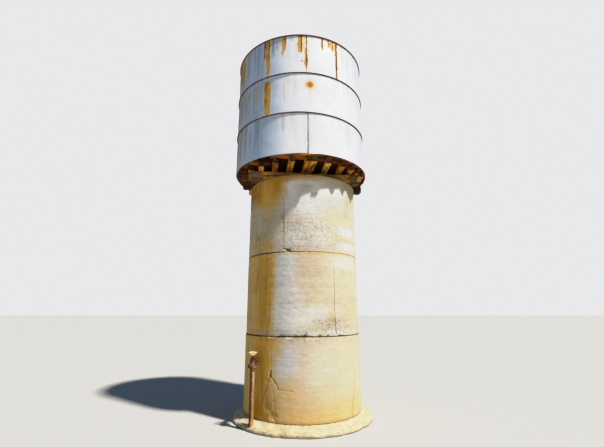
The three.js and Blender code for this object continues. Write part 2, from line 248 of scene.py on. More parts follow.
def heads(places, outward, profile, sides):
    """Rivets, nuts or bolts: a profile of (radius, height) with flat ends, set at each place along its outward
    direction. Each ring is place + outward * height + radius * (side * cos a + up * sin a)."""
    outward = outward / np.linalg.norm(outward, axis=1, keepdims=True)
    helper = np.where(np.abs(outward[:, 2:]) > 0.9, [[1.0, 0.0, 0.0]], [[0.0, 0.0, 1.0]])
    side = np.cross(helper, outward)
    side = side / np.linalg.norm(side, axis=1, keepdims=True)
    up = np.cross(outward, side)
    angle = np.arange(sides) * 2 * math.pi / sides
    ring = side[:, None] * np.cos(angle)[None, :, None] + up[:, None] * np.sin(angle)[None, :, None]
    profile = np.asarray(profile, float)
    radius, height = profile[None, :, None, :1], profile[None, :, None, 1:]
    loops = places[:, None, None] + outward[:, None, None] * height + ring[:, None] * radius
    rings, count = len(profile), len(places)
    start = (np.arange(count) * rings * sides)[:, None, None]
    walls = (grid_faces(rings, sides, columns_close=True)[None] + start).reshape(-1, 4)
    foot = (np.arange(sides)[::-1][None] + start[:, 0]).reshape(-1, sides)
    crown = (np.arange(sides)[None] + (rings - 1) * sides + start[:, 0]).reshape(-1, sides)
    return loops.reshape(-1, 3), [walls, foot, crown]


def show(name, shape, finish, slot, replaces=(), body="tower", crease=35.0, **attributes):
    """Makes a piece of a shape and ties it to its body and to the CAD nodes that it stands for, which it hides. The
    slot is not used.
    """
    points, faces = shape
    mesh = bpy.data.meshes.new(name)
    sizes = np.concatenate([np.full(len(face), face.shape[1]) for face in faces])
    starts = np.concatenate([[0], np.cumsum(sizes)[:-1]])
    mesh.vertices.add(len(points))
    mesh.vertices.foreach_set("co", np.ascontiguousarray(points, np.float32).ravel())
    mesh.loops.add(int(sizes.sum()))
    mesh.loops.foreach_set("vertex_index", np.concatenate([face.ravel() for face in faces]).astype(np.int32))
    mesh.polygons.add(len(sizes))
    mesh.polygons.foreach_set("loop_start", starts.astype(np.int32))
    mesh.update(calc_edges=True)
    mesh.polygons.foreach_set("use_smooth", np.ones(len(sizes), bool))
    mesh.set_sharp_from_angle(angle=math.radians(crease))
    for label, values in attributes.items():
        if values.ndim == 2:
            mesh.attributes.new(label, "FLOAT_VECTOR", "POINT").data.foreach_set("vector", values.ravel())
        else:
            mesh.attributes.new(label, "FLOAT", "POINT").data.foreach_set("value", values)
    piece = bpy.data.objects.new(name, mesh)
    bpy.context.collection.objects.link(piece)
    mesh.materials.append(finish)
    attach(piece, body)
    if replaces:
        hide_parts(*replaces)
    return piece


# Short calls for shader nodes

def put(tree, socket, value):
    """Links a socket to another one, or sets its own value."""
    if isinstance(value, bpy.types.NodeSocket):
        tree.links.new(value, socket)
    else:
        socket.default_value = value


def node(tree, kind, inputs=None, **settings):
    """A shader node with its settings, and its inputs linked or set."""
    made = tree.nodes.new(kind)
    for label, value in settings.items():
        setattr(made, label, value)
    for label, value in (inputs or {}).items():
        put(tree, made.inputs[label], value)
    return made


def calc(tree, operation, *values, clamp=False):
    """A Math node's result."""
    return node(tree, "ShaderNodeMath", dict(enumerate(values)), operation=operation, use_clamp=clamp).outputs[0]


def times(tree, first, second, clamp=False):
    """first * second."""
    return calc(tree, "MULTIPLY", first, second, clamp=clamp)


def plus(tree, first, second):
    """first + second."""
    return calc(tree, "ADD", first, second)


def minus(tree, first, second):
    """first - second."""
    return calc(tree, "SUBTRACT", first, second)


def over(tree, first, second):
    """first / second."""
    return calc(tree, "DIVIDE", first, second)


def greater(tree, first, second):
    """The greater of two values."""
    return calc(tree, "MAXIMUM", first, second)


def from_middle(tree, value, middle):
    """|value - middle|."""
    return calc(tree, "ABSOLUTE", minus(tree, value, middle))


def centred(tree, value, by):
    """(value - 0.5) * by, which makes noise swing about zero."""
    return times(tree, minus(tree, value, 0.5), by)


def aim(tree, operation, *values, answer="Vector"):
    """A Vector Math node's result."""
    return node(tree, "ShaderNodeVectorMath", dict(enumerate(values)), operation=operation).outputs[answer]


def fade(tree, value, low, high, to_low=0.0, to_high=1.0):
    """A smooth step: to_low at low, to_high at high."""
    inputs = {0: value, 1: low, 2: high, 3: to_low, 4: to_high}
    return node(tree, "ShaderNodeMapRange", inputs, interpolation_type="SMOOTHSTEP").outputs[0]


def noise(tree, place, scale, detail=3.0, roughness=0.55):
    """A Noise Texture's value, which mostly lies from 0.25 to 0.75."""
    inputs = {"Vector": place, "Scale": scale, "Detail": detail, "Roughness": roughness}
    return node(tree, "ShaderNodeTexNoise", inputs).outputs[0]


def drawn_noise(tree, place, factors, scale, detail=3.0, roughness=0.55):
    """Noise of a place multiplied axis by axis, which draws it out where a factor is small."""
    return noise(tree, aim(tree, "MULTIPLY", place, factors), scale, detail, roughness)


def blend(tree, factor, first, second):
    """A colour between two colours."""
    first, second = (c if isinstance(c, bpy.types.NodeSocket) else (*c, 1.0) for c in (first, second))
    return node(tree, "ShaderNodeMix", {0: factor, 6: first, 7: second}, data_type="RGBA").outputs[2]


def blend_value(tree, factor, first, second):
    """first + factor * (second - first), of single numbers."""
    return calc(tree, "MULTIPLY_ADD", factor, minus(tree, second, first), first)


def ramp(tree, value, stops):
    """A colour that follows a value through (position, colour) stops."""
    made = node(tree, "ShaderNodeValToRGB", {0: value})
    elements = made.color_ramp.elements
    while len(elements) < len(stops):
        elements.new(0.5)
    for element, (position, colour) in zip(elements, stops):
        element.position = position
        element.color = (*colour, 1.0)
    return made.outputs[0]


def combine(tree, x=0.0, y=0.0, z=0.0):
    """A vector of three values."""
    return node(tree, "ShaderNodeCombineXYZ", {0: x, 1: y, 2: z}).outputs[0]


def separate(tree, vector):
    """A vector's x, y and z."""
    return node(tree, "ShaderNodeSeparateXYZ", {0: vector}).outputs


NUMBER, VECTOR = "NodeSocketFloat", "NodeSocketVector"


def effect(name, inputs, outputs, build):
    """A shared effect: a node group with named inputs and outputs, filled by build(tree, its inputs)."""
    tree = bpy.data.node_groups.new(name, "ShaderNodeTree")
    for label, value in inputs.items():
        kind = VECTOR if isinstance(value, tuple) else NUMBER
        tree.interface.new_socket(label, in_out="INPUT", socket_type=kind).default_value = value
    for label in outputs:
        tree.interface.new_socket(label, in_out="OUTPUT", socket_type=NUMBER)
    source = tree.nodes.new("NodeGroupInput")
    sink = tree.nodes.new("NodeGroupOutput")
    for label, result in zip(outputs, build(tree, source.outputs)):
        tree.links.new(result, sink.inputs[label])
    return tree


def use(tree, shared, inputs):
    """Places a shared effect and gives its outputs."""
    placed = tree.nodes.new("ShaderNodeGroup")
    placed.node_tree = shared
    for label, value in inputs.items():
        put(tree, placed.inputs[label], value)
    return placed.outputs


# Shared effects

def build_round_place(tree, given):
    """Angle = atan2(x, -y) in degrees about the centre, and height."""
    x, y, z = separate(tree, aim(tree, "SUBTRACT", given["Place"], given["Centre"]))
    turn = calc(tree, "ARCTAN2", x, times(tree, y, -1.0))
    return times(tree, turn, math.degrees(1.0)), z


def build_run(tree, given):
    """A stain that runs down: across it |angle - at| in metres against a half width that narrows from Top to
    Bottom, along it a fade at the lower end. Bend, from -0.5 to 0.5, moves its edges."""
    fall = over(tree, minus(tree, given["Top"], given["Height"]), minus(tree, given["Top"], given["Bottom"]))
    offset = times(tree, minus(tree, given["Angle"], given["At"]), given["Metres Per Degree"])
    distance = calc(tree, "ABSOLUTE", calc(tree, "MULTIPLY_ADD", given["Bend"], given["Half Width"], offset))
    width = times(tree, given["Half Width"], fade(tree, fall, 0.0, 1.0, 1.0, given["Taper"]))
    across = fade(tree, over(tree, distance, width), 1.5, 0.1)
    along = times(tree, fade(tree, fall, 1.0, 0.55), fade(tree, fall, -0.03, 0.02))
    return (times(tree, times(tree, across, along), given["Strength"]),)


def build_patch(tree, given):
    """A soft-edged patch: (dx^p + dy^p)^(1/p) of the offsets over the half sizes, moved by Warp, fades at 1. A power
    of 2 makes it round and 4 nearly square."""
    across = over(tree, minus(tree, given["Angle"], given["At"]), given["Half Angle"])
    up = over(tree, minus(tree, given["Height"], given["Level"]), given["Half Height"])
    power = given["Power"]
    both = plus(tree, calc(tree, "POWER", calc(tree, "ABSOLUTE", across), power),
                calc(tree, "POWER", calc(tree, "ABSOLUTE", up), power))
    reach = plus(tree, calc(tree, "POWER", both, over(tree, 1.0, power)), given["Warp"])
    inner = minus(tree, 1.0, given["Softness"])
    outer = plus(tree, 1.0, given["Softness"])
    return (times(tree, fade(tree, reach, outer, inner), given["Strength"]),)


def build_crack(tree, given):
    """Distance to the segment From-To in metres on the unrolled wall, whose point here is Across and Up, against a
    half width."""
    here = combine(tree, given["Across"], given["Up"])
    whole = aim(tree, "SUBTRACT", given["To"], given["From"])
    part = aim(tree, "SUBTRACT", here, given["From"])
    share = calc(tree, "DIVIDE", aim(tree, "DOT_PRODUCT", part, whole, answer="Value"),
                 aim(tree, "DOT_PRODUCT", whole, whole, answer="Value"), clamp=True)
    nearest = node(tree, "ShaderNodeVectorMath", {0: whole, "Scale": share}, operation="SCALE").outputs[0]
    distance = aim(tree, "LENGTH", aim(tree, "SUBTRACT", part, nearest), answer="Value")
    outer = times(tree, given["Half Width"], 1.5)
    inner = times(tree, given["Half Width"], 0.4)
    return (times(tree, fade(tree, distance, outer, inner), given["Strength"]),)


def build_natural_runs(tree, given):
    """Runs of uneven length below an edge: noise drawn out along Z, thresholded, and ended where the drop passes
    a length that changes only round the tank."""
    thin = drawn_noise(tree, given["Place"], (1.0, 1.0, 0.04), given["Scale"], 4.0, 0.6)
    length = drawn_noise(tree, given["Place"], (1.0, 1.0, 0.0), 5.3, 1.0)
    reach = fade(tree, length, 0.3, 0.75, 0.05, given["Longest"])
    ending = fade(tree, over(tree, given["Drop"], reach), 1.0, 0.2)
    streak = fade(tree, thin, given["Threshold"], plus(tree, given["Threshold"], 0.16))
    return (times(tree, streak, ending),)


def build_grit(tree, given):
    """Concrete: broad tone, fine sand, board marks across, small blow holes and the height of them all."""
    place = given["Place"]
    broad = noise(tree, place, 1.7, 4.0, 0.6)
    sand = drawn_noise(tree, place, (0.6, 0.6, 1.5), 90.0, 3.0, 0.7)
    blotch = drawn_noise(tree, place, (0.9, 0.9, 2.3), 9.0, 5.0, 0.68)
    boards = drawn_noise(tree, place, (0.7, 0.7, 15.0), 1.0, 2.0)
    cells = node(tree, "ShaderNodeTexVoronoi", {"Vector": place, "Scale": 24.0, "Randomness": 1.0})
    size = calc(tree, "MULTIPLY_ADD", given["Pitting"], 0.45, 0.18)
    holes = fade(tree, over(tree, cells.outputs["Distance"], size), 1.1, 0.5)
    chance = separate(tree, cells.outputs["Color"])[0]
    holes = times(tree, holes, fade(tree, plus(tree, chance, given["Pitting"]), 0.94, 0.96))
    tone = plus(tree, times(tree, broad, 0.35), times(tree, blotch, 0.45))
    tone = plus(tree, tone, times(tree, boards, 0.2))
    height = plus(tree, times(tree, sand, 0.16), times(tree, blotch, 0.6))
    height = plus(tree, height, times(tree, boards, 0.7))
    height = minus(tree, height, times(tree, holes, 1.2))
    return tone, sand, holes, height


def build_grain(tree, given):
    """Sawn timber: noise drawn out along the grain for tone, fibres and drying cracks, and their height."""
    place = given["Grain"]
    tone = drawn_noise(tree, place, (0.9, 9.0, 9.0), 1.0, 4.0, 0.6)
    fibre = drawn_noise(tree, place, (4.0, 160.0, 160.0), 1.0, 3.0, 0.7)
    split = drawn_noise(tree, place, (1.3, 42.0, 42.0), 1.0, 2.0, 0.5)
    split = fade(tree, from_middle(tree, split, 0.5), 0.022, 0.006)
    where = fade(tree, drawn_noise(tree, place, (1.6, 6.0, 6.0), 1.0, 1.0), 0.46, 0.60)
    split = times(tree, split, where)
    height = minus(tree, times(tree, fibre, 0.5), times(tree, split, 1.6))
    return tone, fibre, split, height


def build_scale(tree, given):
    """Rusted iron: broad and fine noise as an amount from 0 to 1, and its height."""
    broad = noise(tree, given["Place"], given["Size"], 5.0, 0.62)
    fine = noise(tree, given["Place"], times(tree, given["Size"], 9.0), 4.0, 0.7)
    amount = plus(tree, times(tree, broad, 0.65), times(tree, fine, 0.35))
    amount = fade(tree, amount, 0.32, 0.68)
    return amount, plus(tree, times(tree, broad, 0.5), times(tree, fine, 0.5))


ROUND_PLACE = effect("round_place", {"Place": (0.0, 0.0, 0.0), "Centre": (0.0, 0.0, 0.0)}, ("Angle", "Height"),
                     build_round_place)
RUN = effect("run", {"Angle": 0.0, "Height": 0.0, "Bend": 0.0, "Metres Per Degree": 0.02, "At": 0.0, "Top": 1.0,
                     "Bottom": 0.0, "Half Width": 0.02, "Taper": 0.4, "Strength": 1.0}, ("Mask",), build_run)
PATCH = effect("patch", {"Angle": 0.0, "Height": 0.0, "At": 0.0, "Level": 0.0, "Half Angle": 10.0, "Half Height": 0.5,
                         "Warp": 0.0, "Power": 4.0, "Softness": 0.2, "Strength": 1.0}, ("Mask",), build_patch)
CRACK = effect("crack", {"Across": 0.0, "Up": 0.0, "From": (0.0, 0.0, 0.0), "To": (1.0, 0.0, 0.0),
                         "Half Width": 0.01, "Strength": 1.0}, ("Mask",), build_crack)
NATURAL_RUNS = effect("natural_runs", {"Place": (0.0, 0.0, 0.0), "Drop": 0.0, "Longest": 0.8, "Scale": 9.0,
                                       "Threshold": 0.58}, ("Mask",), build_natural_runs)
GRIT = effect("grit", {"Place": (0.0, 0.0, 0.0), "Pitting": 0.0}, ("Tone", "Sand", "Holes", "Surface"), build_grit)
GRAIN = effect("grain", {"Grain": (0.0, 0.0, 0.0)}, ("Tone", "Fibre", "Split", "Surface"), build_grain)
SCALE = effect("scale", {"Place": (0.0, 0.0, 0.0), "Size": 6.0}, ("Amount", "Surface"), build_scale)


# Finishes

def new_finish(name, **constants):
    """A material with its Principled shader, whose unchanging values are set on the shader's own sockets."""
    finish = bpy.data.materials.new(name)
    finish.use_nodes = True
    tree = finish.node_tree
    shader = tree.nodes["Principled BSDF"]
    for label, value in constants.items():
        shader.inputs[label.replace("_", " ")].default_value = value
    place = node(tree, "ShaderNodeTexCoord").outputs["Object"]
    return finish, tree, shader, place


def dress(tree, shader, colour, roughness, height, distance, strength=1.0):
    """Colour, roughness and bump into the shader."""
    put(tree, shader.inputs["Base Color"], colour)
    put(tree, shader.inputs["Roughness"], roughness)
    bump = node(tree, "ShaderNodeBump", {"Height": height, "Strength": strength, "Distance": distance})
    put(tree, shader.inputs["Normal"], bump.outputs[0])


def strongest(tree, masks):
    """The greatest of several masks at each point, each made only when its turn comes."""
    result = 0.0
    for mask in masks:
        result = greater(tree, result, mask)
    return result


# The tank's paint, and its rust from the thin edge of a run to its core
PAINT_WHITE = (0.765, 0.785, 0.82)
PAINT_CHALK = (0.68, 0.705, 0.74)
# Painted bluish shade, blended into the paint towards the tank's sides
PAINT_COOL_SHADE = (0.41, 0.51, 0.65)
PAINT_GRIME = (0.135, 0.118, 0.092)
# Darker, browner paint for the left edge: painted shade together with grime
PAINT_EDGE_SHADE_AND_GRIME = (0.52, 0.49, 0.45)
RUST_STOPS = ((0.0, (0.74, 0.66, 0.48)), (0.18, (0.70, 0.53, 0.22)), (0.36, (0.63, 0.39, 0.06)),
              (0.56, (0.45, 0.21, 0.020)), (0.78, (0.25, 0.090, 0.010)), (1.0, (0.10, 0.036, 0.008)))
EMBER = (0.46, 0.090, 0.002)

# Rust runs of each course: angle, top, bottom, half width, taper, strength
RUST_RUNS = {
    "top": (
        (-30.6, 8.02, 7.42, 0.024, 0.7, 1.00), (-27.2, 8.02, 6.72, 0.066, 0.55, 0.50),
        (-26.0, 8.02, 6.90, 0.022, 0.6, 0.72), (-28.6, 8.02, 7.30, 0.020, 0.6, 0.72),
        (-13.6, 8.02, 7.36, 0.056, 0.8, 0.48), (-11.9, 8.02, 7.56, 0.022, 0.7, 0.86),
        (0.0, 8.02, 7.50, 0.074, 0.8, 0.50), (1.7, 8.02, 7.48, 0.026, 0.9, 0.92), (4.0, 8.02, 7.30, 0.040, 0.9, 0.30),
        (5.9, 8.02, 6.86, 0.018, 0.9, 0.84), (5.4, 7.72, 7.04, 0.056, 0.8, 0.46),
        (19.2, 8.02, 7.62, 0.034, 0.6, 0.62), (19.8, 7.98, 7.64, 0.015, 0.6, 0.82),
        (25.2, 8.02, 7.76, 0.022, 0.7, 0.56), (29.4, 8.02, 7.66, 0.034, 0.6, 0.58),
        (32.8, 8.02, 6.76, 0.027, 0.9, 1.06), (32.6, 8.00, 7.16, 0.050, 0.7, 0.42),
        (38.0, 8.02, 7.80, 0.016, 0.7, 0.46), (-58.0, 7.99, 7.25, 0.070, 0.5, 0.50),
        (-66.0, 7.99, 7.10, 0.090, 0.6, 0.62), (-47.0, 7.98, 7.55, 0.045, 0.5, 0.36),
    ),
    "middle": (
        (-27.3, 6.99, 5.30, 0.084, 0.9, 0.44), (-28.4, 6.98, 6.10, 0.066, 0.8, 0.60),
        (-29.9, 6.97, 6.00, 0.020, 0.9, 0.50), (-25.0, 6.96, 5.90, 0.030, 0.9, 0.50),
        (-38.8, 6.98, 6.20, 0.058, 0.7, 0.26), (-12.6, 6.95, 6.45, 0.070, 0.8, 0.18),
        (8.6, 6.80, 6.50, 0.022, 0.8, 0.24), (70.5, 7.06, 6.10, 0.018, 1.0, 0.55),
        (-48.0, 6.98, 6.60, 0.022, 0.6, 0.46), (33.0, 6.98, 6.72, 0.030, 0.8, 0.12),
    ),
    "bottom": (
        (7.6, 6.12, 5.50, 0.034, 0.7, 0.12), (-59.0, 5.99, 5.66, 0.028, 0.6, 0.40),
        (9.0, 5.66, 5.45, 0.02, 0.7, 0.16),
    ),
}
# How strongly the fibres and crumbs of the paint break up the rust of each course
BREAK_UP = {"top": 1.7, "middle": 1.0, "bottom": 1.4}
# Round rust spots: angle, level, half width, strength
RUST_SPOTS = {
    "top": ((2.2, 7.37, 0.034, 0.46), (26.6, 7.93, 0.050, 0.52), (29.0, 7.86, 0.066, 0.46),
            (31.2, 7.93, 0.024, 0.6), (24.2, 7.97, 0.026, 0.50), (28.2, 7.80, 0.026, 0.40), (0.8, 7.62, 0.050, 0.50)),
    "middle": ((8.6, 6.795, 0.150, 0.34), (8.6, 6.795, 0.086, 0.56), (24.0, 6.85, 0.05, 0.10), (31.5, 6.86, 0.05, 0.12),
               (44.0, 6.86, 0.04, 0.12), (-12.0, 6.84, 0.07, 0.16)),
    "bottom": ((9.0, 5.62, 0.020, 0.20), (-13.0, 5.93, 0.05, 0.12), (-5.0, 5.94, 0.04, 0.10)),
}
# Orange-red hearts of spots: angle, level, half width, strength
EMBERS = {"top": (), "middle": ((8.6, 6.795, 0.052, 0.95),), "bottom": ()}
# Grey dirt runs: angle, top, bottom, half width, taper, strength
# The broad runs near -60 and -70 degrees in every course darken the left side: painted shade together with dirt
GRIME_RUNS = {
    "top": (
        (-22.5, 8.02, 7.45, 0.044, 0.8, 0.66), (-19.0, 8.02, 7.60, 0.046, 0.6, 0.50),
        (-16.4, 8.02, 7.76, 0.03, 0.6, 0.45), (-6.0, 8.02, 7.84, 0.07, 0.9, 0.36),
        (11.0, 8.02, 7.90, 0.08, 0.9, 0.22), (39.5, 8.0, 7.1, 0.014, 0.9, 0.34), (43.6, 7.95, 7.4, 0.010, 0.9, 0.26),
        (47.2, 7.95, 7.1, 0.014, 0.9, 0.32), (50.6, 7.95, 7.2, 0.012, 0.9, 0.30), (55.0, 7.98, 7.1, 0.018, 0.9, 0.34),
        (61.0, 7.98, 7.1, 0.030, 0.9, 0.38), (-51.0, 8.02, 7.1, 0.07, 0.9, 0.44),
        (-60.0, 8.02, 7.0, 0.10, 0.95, 0.74), (-70.0, 8.02, 7.0, 0.16, 1.0, 0.80),
        (-42.0, 8.02, 7.4, 0.05, 0.7, 0.34), (-26.2, 7.3, 7.08, 0.03, 0.8, 0.3),
    ),
    "middle": (
        (8.6, 6.74, 6.14, 0.026, 0.8, 0.20), (-42.0, 7.05, 6.1, 0.04, 0.9, 0.36),
        (-47.5, 7.05, 6.1, 0.030, 0.9, 0.44), (-53.0, 7.05, 6.1, 0.05, 0.9, 0.44),
        (-61.0, 7.05, 6.1, 0.08, 0.9, 0.60), (-71.0, 7.05, 6.1, 0.14, 1.0, 0.72), (-35.0, 6.95, 6.3, 0.03, 0.8, 0.30),
        (-12.0, 6.80, 6.3, 0.03, 0.7, 0.16), (-38.6, 6.95, 6.35, 0.06, 0.7, 0.62),
        (-20.5, 6.9, 6.30, 0.024, 0.8, 0.16), (-6.5, 6.98, 6.80, 0.05, 0.8, 0.14), (62.0, 7.05, 6.1, 0.05, 0.9, 0.30),
    ),
    "bottom": (
        (6.8, 6.13, 4.30, 0.0135, 1.0, 1.30), (-35.5, 6.10, 5.50, 0.045, 0.7, 0.52),
        (-12.5, 6.14, 5.55, 0.05, 0.6, 0.28), (-5.8, 6.14, 5.70, 0.04, 0.5, 0.18), (6.0, 6.13, 4.80, 0.07, 1.0, 0.14),
        (-44.5, 5.95, 5.4, 0.04, 0.7, 0.34), (-52.0, 6.1, 5.2, 0.06, 0.9, 0.44), (-61.0, 6.1, 5.2, 0.08, 0.9, 0.60),
        (-71.0, 6.1, 5.15, 0.14, 1.0, 0.66), (-27.0, 5.9, 5.4, 0.04, 0.7, 0.20), (9.0, 5.64, 5.25, 0.018, 0.7, 0.22),
        (62.0, 6.1, 5.2, 0.05, 0.9, 0.26),
    ),
}
# Rust down each lap but a course's first one: length, half width, taper, strength
LAP_RUST = (1.1, 0.009, 1.0, 0.34)
# Runs are placed one by one between these two angles, and come from noise past a short change
FRONT_FROM, FRONT_TO, FRONT_CHANGE = -74.0, 66.0, 12.0
# Depth of each finish's fine relief, in metres
PAINT_RELIEF, RUST_RELIEF, TIMBER_RELIEF, CONCRETE_RELIEF, MORTAR_RELIEF = 0.0008, 0.0012, 0.004, 0.006, 0.016


def tank_paint(course, top, seam):
    """Old white paint on sheet steel: chalk, grey runs, and rust that starts at the hoop above, at the seams and
    at spots where the paint has broken. A run is pale yellow at its edge, golden further in and brown in its core,
    broken up by fibres and crumbs. The runs of the front are placed one by one, and the rest by noise. Towards
    both sides, most on the left, the paint is blended to a painted bluish shade, and at the left edge it is darker
    and browner: painted shade together with grime."""
    finish, tree, shader, place = new_finish(f"tank_paint_{course}", Specular_IOR_Level=0.25)
    centre = (float(TANK_X), 0.0, 0.0)
    angle, height = use(tree, ROUND_PLACE, {"Place": place, "Centre": centre}).values()
    wall = {"Angle": angle, "Height": height}
    drop = minus(tree, float(top), height)
    bend = centred(tree, drawn_noise(tree, place, (1.0, 1.0, 0.3), 26.0, 3.0), 2.4)
    metres = math.radians(TANK_RADIUS)

    def runs(table):
        """The mask of each run of a table."""
        for row in table:
            labels = ("At", "Top", "Bottom", "Half Width", "Taper", "Strength")
            inputs = {"Bend": bend, "Metres Per Degree": metres, **dict(zip(labels, row))}
            yield use(tree, RUN, {**wall, **inputs})[0]

    fibre = drawn_noise(tree, place, (1.0, 1.0, 0.05), 60.0, 3.0, 0.65)
    crumb = noise(tree, place, 34.0, 4.0, 0.7)
    broken = minus(tree, plus(tree, fibre, crumb), 1.0)
    warp = centred(tree, crumb, 1.4)
    sides = strongest(tree, [fade(tree, angle, FRONT_FROM, FRONT_FROM - FRONT_CHANGE),
                             fade(tree, angle, FRONT_TO, FRONT_TO + FRONT_CHANGE)])

    def spots(table, softness):
        """The mask of each round spot of a table."""
        for at, level, half_width, strength in table:
            inputs = {"At": at, "Level": level, "Half Angle": half_width / metres, "Half Height": half_width,
                      "Warp": warp, "Softness": softness, "Strength": strength, "Power": 2.0}
            yield use(tree, PATCH, {**wall, **inputs})[0]

    wild = use(tree, NATURAL_RUNS, {"Place": place, "Drop": drop, "Longest": 0.75, "Scale": 7.0, "Threshold": 0.60})[0]
    wild = times(tree, times(tree, wild, sides), 0.62)
    lap_length, *lap_rest = LAP_RUST
    laps = [((seam + turn + 180.0) % 360.0 - 180.0, float(top), float(top) - lap_length, *lap_rest)
            for turn in (SHEET_SPAN, 2 * SHEET_SPAN)]
    rust = greater(tree, wild, strongest(tree, runs(list(RUST_RUNS[course]) + laps)))
    rust = greater(tree, rust, strongest(tree, spots(RUST_SPOTS[course], 0.85)))
    rust = times(tree, rust, calc(tree, "MULTIPLY_ADD", broken, BREAK_UP[course], 1.12), clamp=True)

    soft_runs = use(tree, NATURAL_RUNS, {"Place": place, "Drop": drop, "Longest": 1.5, "Scale": 16.0,
                                         "Threshold": 0.46})[0]
    # What fades by angle comes together at the back, where the angle jumps from 180 to -180
    back = fade(tree, calc(tree, "ABSOLUTE", angle), 105.0, 165.0)
    # Soft runs are weighted towards the sides, most on the left, where they also stand for the shade of the side turned
    # from the lamp
    dirty = fade(tree, angle, -20.0, -62.0, 0.16, 0.80)
    dirty = greater(tree, dirty, fade(tree, angle, 24.0, 70.0, 0.14, 0.50))
    dirty = blend_value(tree, back, dirty, 0.50)
    grime = greater(tree, times(tree, soft_runs, dirty), strongest(tree, runs(GRIME_RUNS[course])))
    grime = times(tree, grime, calc(tree, "MULTIPLY_ADD", broken, 1.5, 1.0), clamp=True)

    chalk = fade(tree, noise(tree, place, 2.4, 5.0, 0.6), 0.35, 0.70)
    paint = blend(tree, chalk, PAINT_WHITE, PAINT_CHALK)
    # Painted bluish shade towards both sides, strongest on the left where the lamp's light leaves the tank
    thin = greater(tree, fade(tree, angle, -4.0, -33.0, 0.0, 0.95), fade(tree, angle, 34.0, 66.0, 0.0, 0.34))
    thin = blend_value(tree, back, thin, 0.25)
    paint = blend(tree, thin, paint, PAINT_COOL_SHADE)
    # Darker, browner paint at the left edge: painted shade together with grime
    edge = times(tree, fade(tree, angle, -42.0, -66.0, 0.0, 0.85), minus(tree, 1.0, back))
    paint = blend(tree, edge, paint, PAINT_EDGE_SHADE_AND_GRIME)
    paint = blend(tree, grime, paint, PAINT_GRIME)
    colour = blend(tree, fade(tree, rust, 0.02, 0.50), paint, ramp(tree, rust, RUST_STOPS))
    for ember in spots(EMBERS[course], 0.6):
        colour = blend(tree, ember, colour, EMBER)
    scaly = fade(tree, rust, 0.1, 0.5)
    roughness = fade(tree, calc(tree, "MULTIPLY_ADD", crumb, 0.2, scaly), 0.0, 1.2, 0.52, 0.92)
    dress(tree, shader, colour, roughness, crumb, PAINT_RELIEF)
    return finish


def roof_paint():
    """The roof: the same white paint, chalked and dusty, broken through to rust in patches."""
    finish, tree, shader, place = new_finish("roof_paint", Specular_IOR_Level=0.25)
    crumb = noise(tree, place, 34.0, 4.0, 0.7)
    dust = fade(tree, noise(tree, place, 1.7, 5.0, 0.62), 0.38, 0.66, 0.12, 0.58)
    paint = blend(tree, dust, PAINT_WHITE, PAINT_GRIME)
    patches = fade(tree, noise(tree, place, 3.6, 6.0, 0.70), 0.54, 0.70)
    rust = times(tree, patches, fade(tree, crumb, 0.25, 0.75, 0.35, 1.0), clamp=True)
    colour = blend(tree, fade(tree, rust, 0.03, 0.40), paint, ramp(tree, rust, RUST_STOPS))
    dress(tree, shader, colour, fade(tree, rust, 0.0, 0.6, 0.55, 0.92), crumb, PAINT_RELIEF)
    return finish


# Iron: colours from (0) dark scale to (1) fresh rust, and what lies on them
PLATE_RUST = ((0.0, (0.060, 0.030, 0.014)), (0.5, (0.15, 0.075, 0.028)), (1.0, (0.28, 0.14, 0.045)))
HOOP_RUST = ((0.0, (0.036, 0.016, 0.004)), (0.5, (0.105, 0.049, 0.011)), (0.8, (0.19, 0.078, 0.014)),
             (1.0, (0.30, 0.115, 0.015)))
PIPE_RUST = ((0.0, (0.09, 0.028, 0.005)), (0.5, (0.235, 0.095, 0.020)), (1.0, (0.40, 0.19, 0.055)))
# Painted shade down the riser's left side, and painted light down its right
PIPE_PAINTED_SHADE = (0.075, 0.016, 0.002)
PIPE_PAINTED_LIGHT = (0.50, 0.31, 0.15)
VALVE_RUST = ((0.0, (0.016, 0.009, 0.006)), (0.5, (0.060, 0.026, 0.011)), (1.0, (0.20, 0.085, 0.030)))
VALVE_NECK = (0.50, 0.25, 0.15)
WHEEL_CREAM = (0.92, 0.73, 0.38)
WHEEL_BUFF = (0.80, 0.58, 0.25)
WHEEL_RUST = (0.22, 0.09, 0.03)


def rusted(name, stops, size, **constants):
    """The start of a finish of rusted iron: its parts, how far the rust has gone, its colour by that, its height."""
    finish, tree, shader, place = new_finish(name, **constants)
    amount, surface = use(tree, SCALE, {"Place": place, "Size": size}).values()
    return finish, tree, shader, place, amount, ramp(tree, amount, stops), surface


def bare_iron():
    """The tank's floor and the bolts of the beams: brown rusted plate."""
    finish, tree, shader, _, amount, rust, surface = rusted("bare_iron", PLATE_RUST, 9.0)
    dress(tree, shader, rust, fade(tree, amount, 0.0, 1.0, 0.65, 0.85), surface, RUST_RELIEF)
    return finish


def hoop_iron():
    """The hoops: dull brown rust, with scraps of old white paint on the leg against the sheet."""
    finish, tree, shader, place, _, rust, surface = rusted("hoop_iron", HOOP_RUST, 9.0, Specular_IOR_Level=0.06)
    flat = aim(tree, "MULTIPLY", aim(tree, "SUBTRACT", place, (float(TANK_X), 0.0, 0.0)), (1.0, 1.0, 0.0))
    leg_face = TANK_RADIUS + HOOP_THICKNESS
    leg = fade(tree, aim(tree, "LENGTH", flat, answer="Value"), leg_face + 0.0035, leg_face + 0.0015)
    scraps = fade(tree, drawn_noise(tree, place, (1.0, 1.0, 3.0), 5.0, 5.0, 0.7), 0.66, 0.56)
    painted = times(tree, leg, scraps)
    colour = blend(tree, times(tree, painted, 0.08), rust, PAINT_CHALK)
    dress(tree, shader, colour, fade(tree, painted, 0.0, 1.0, 0.88, 0.55), surface, RUST_RELIEF)
    return finish


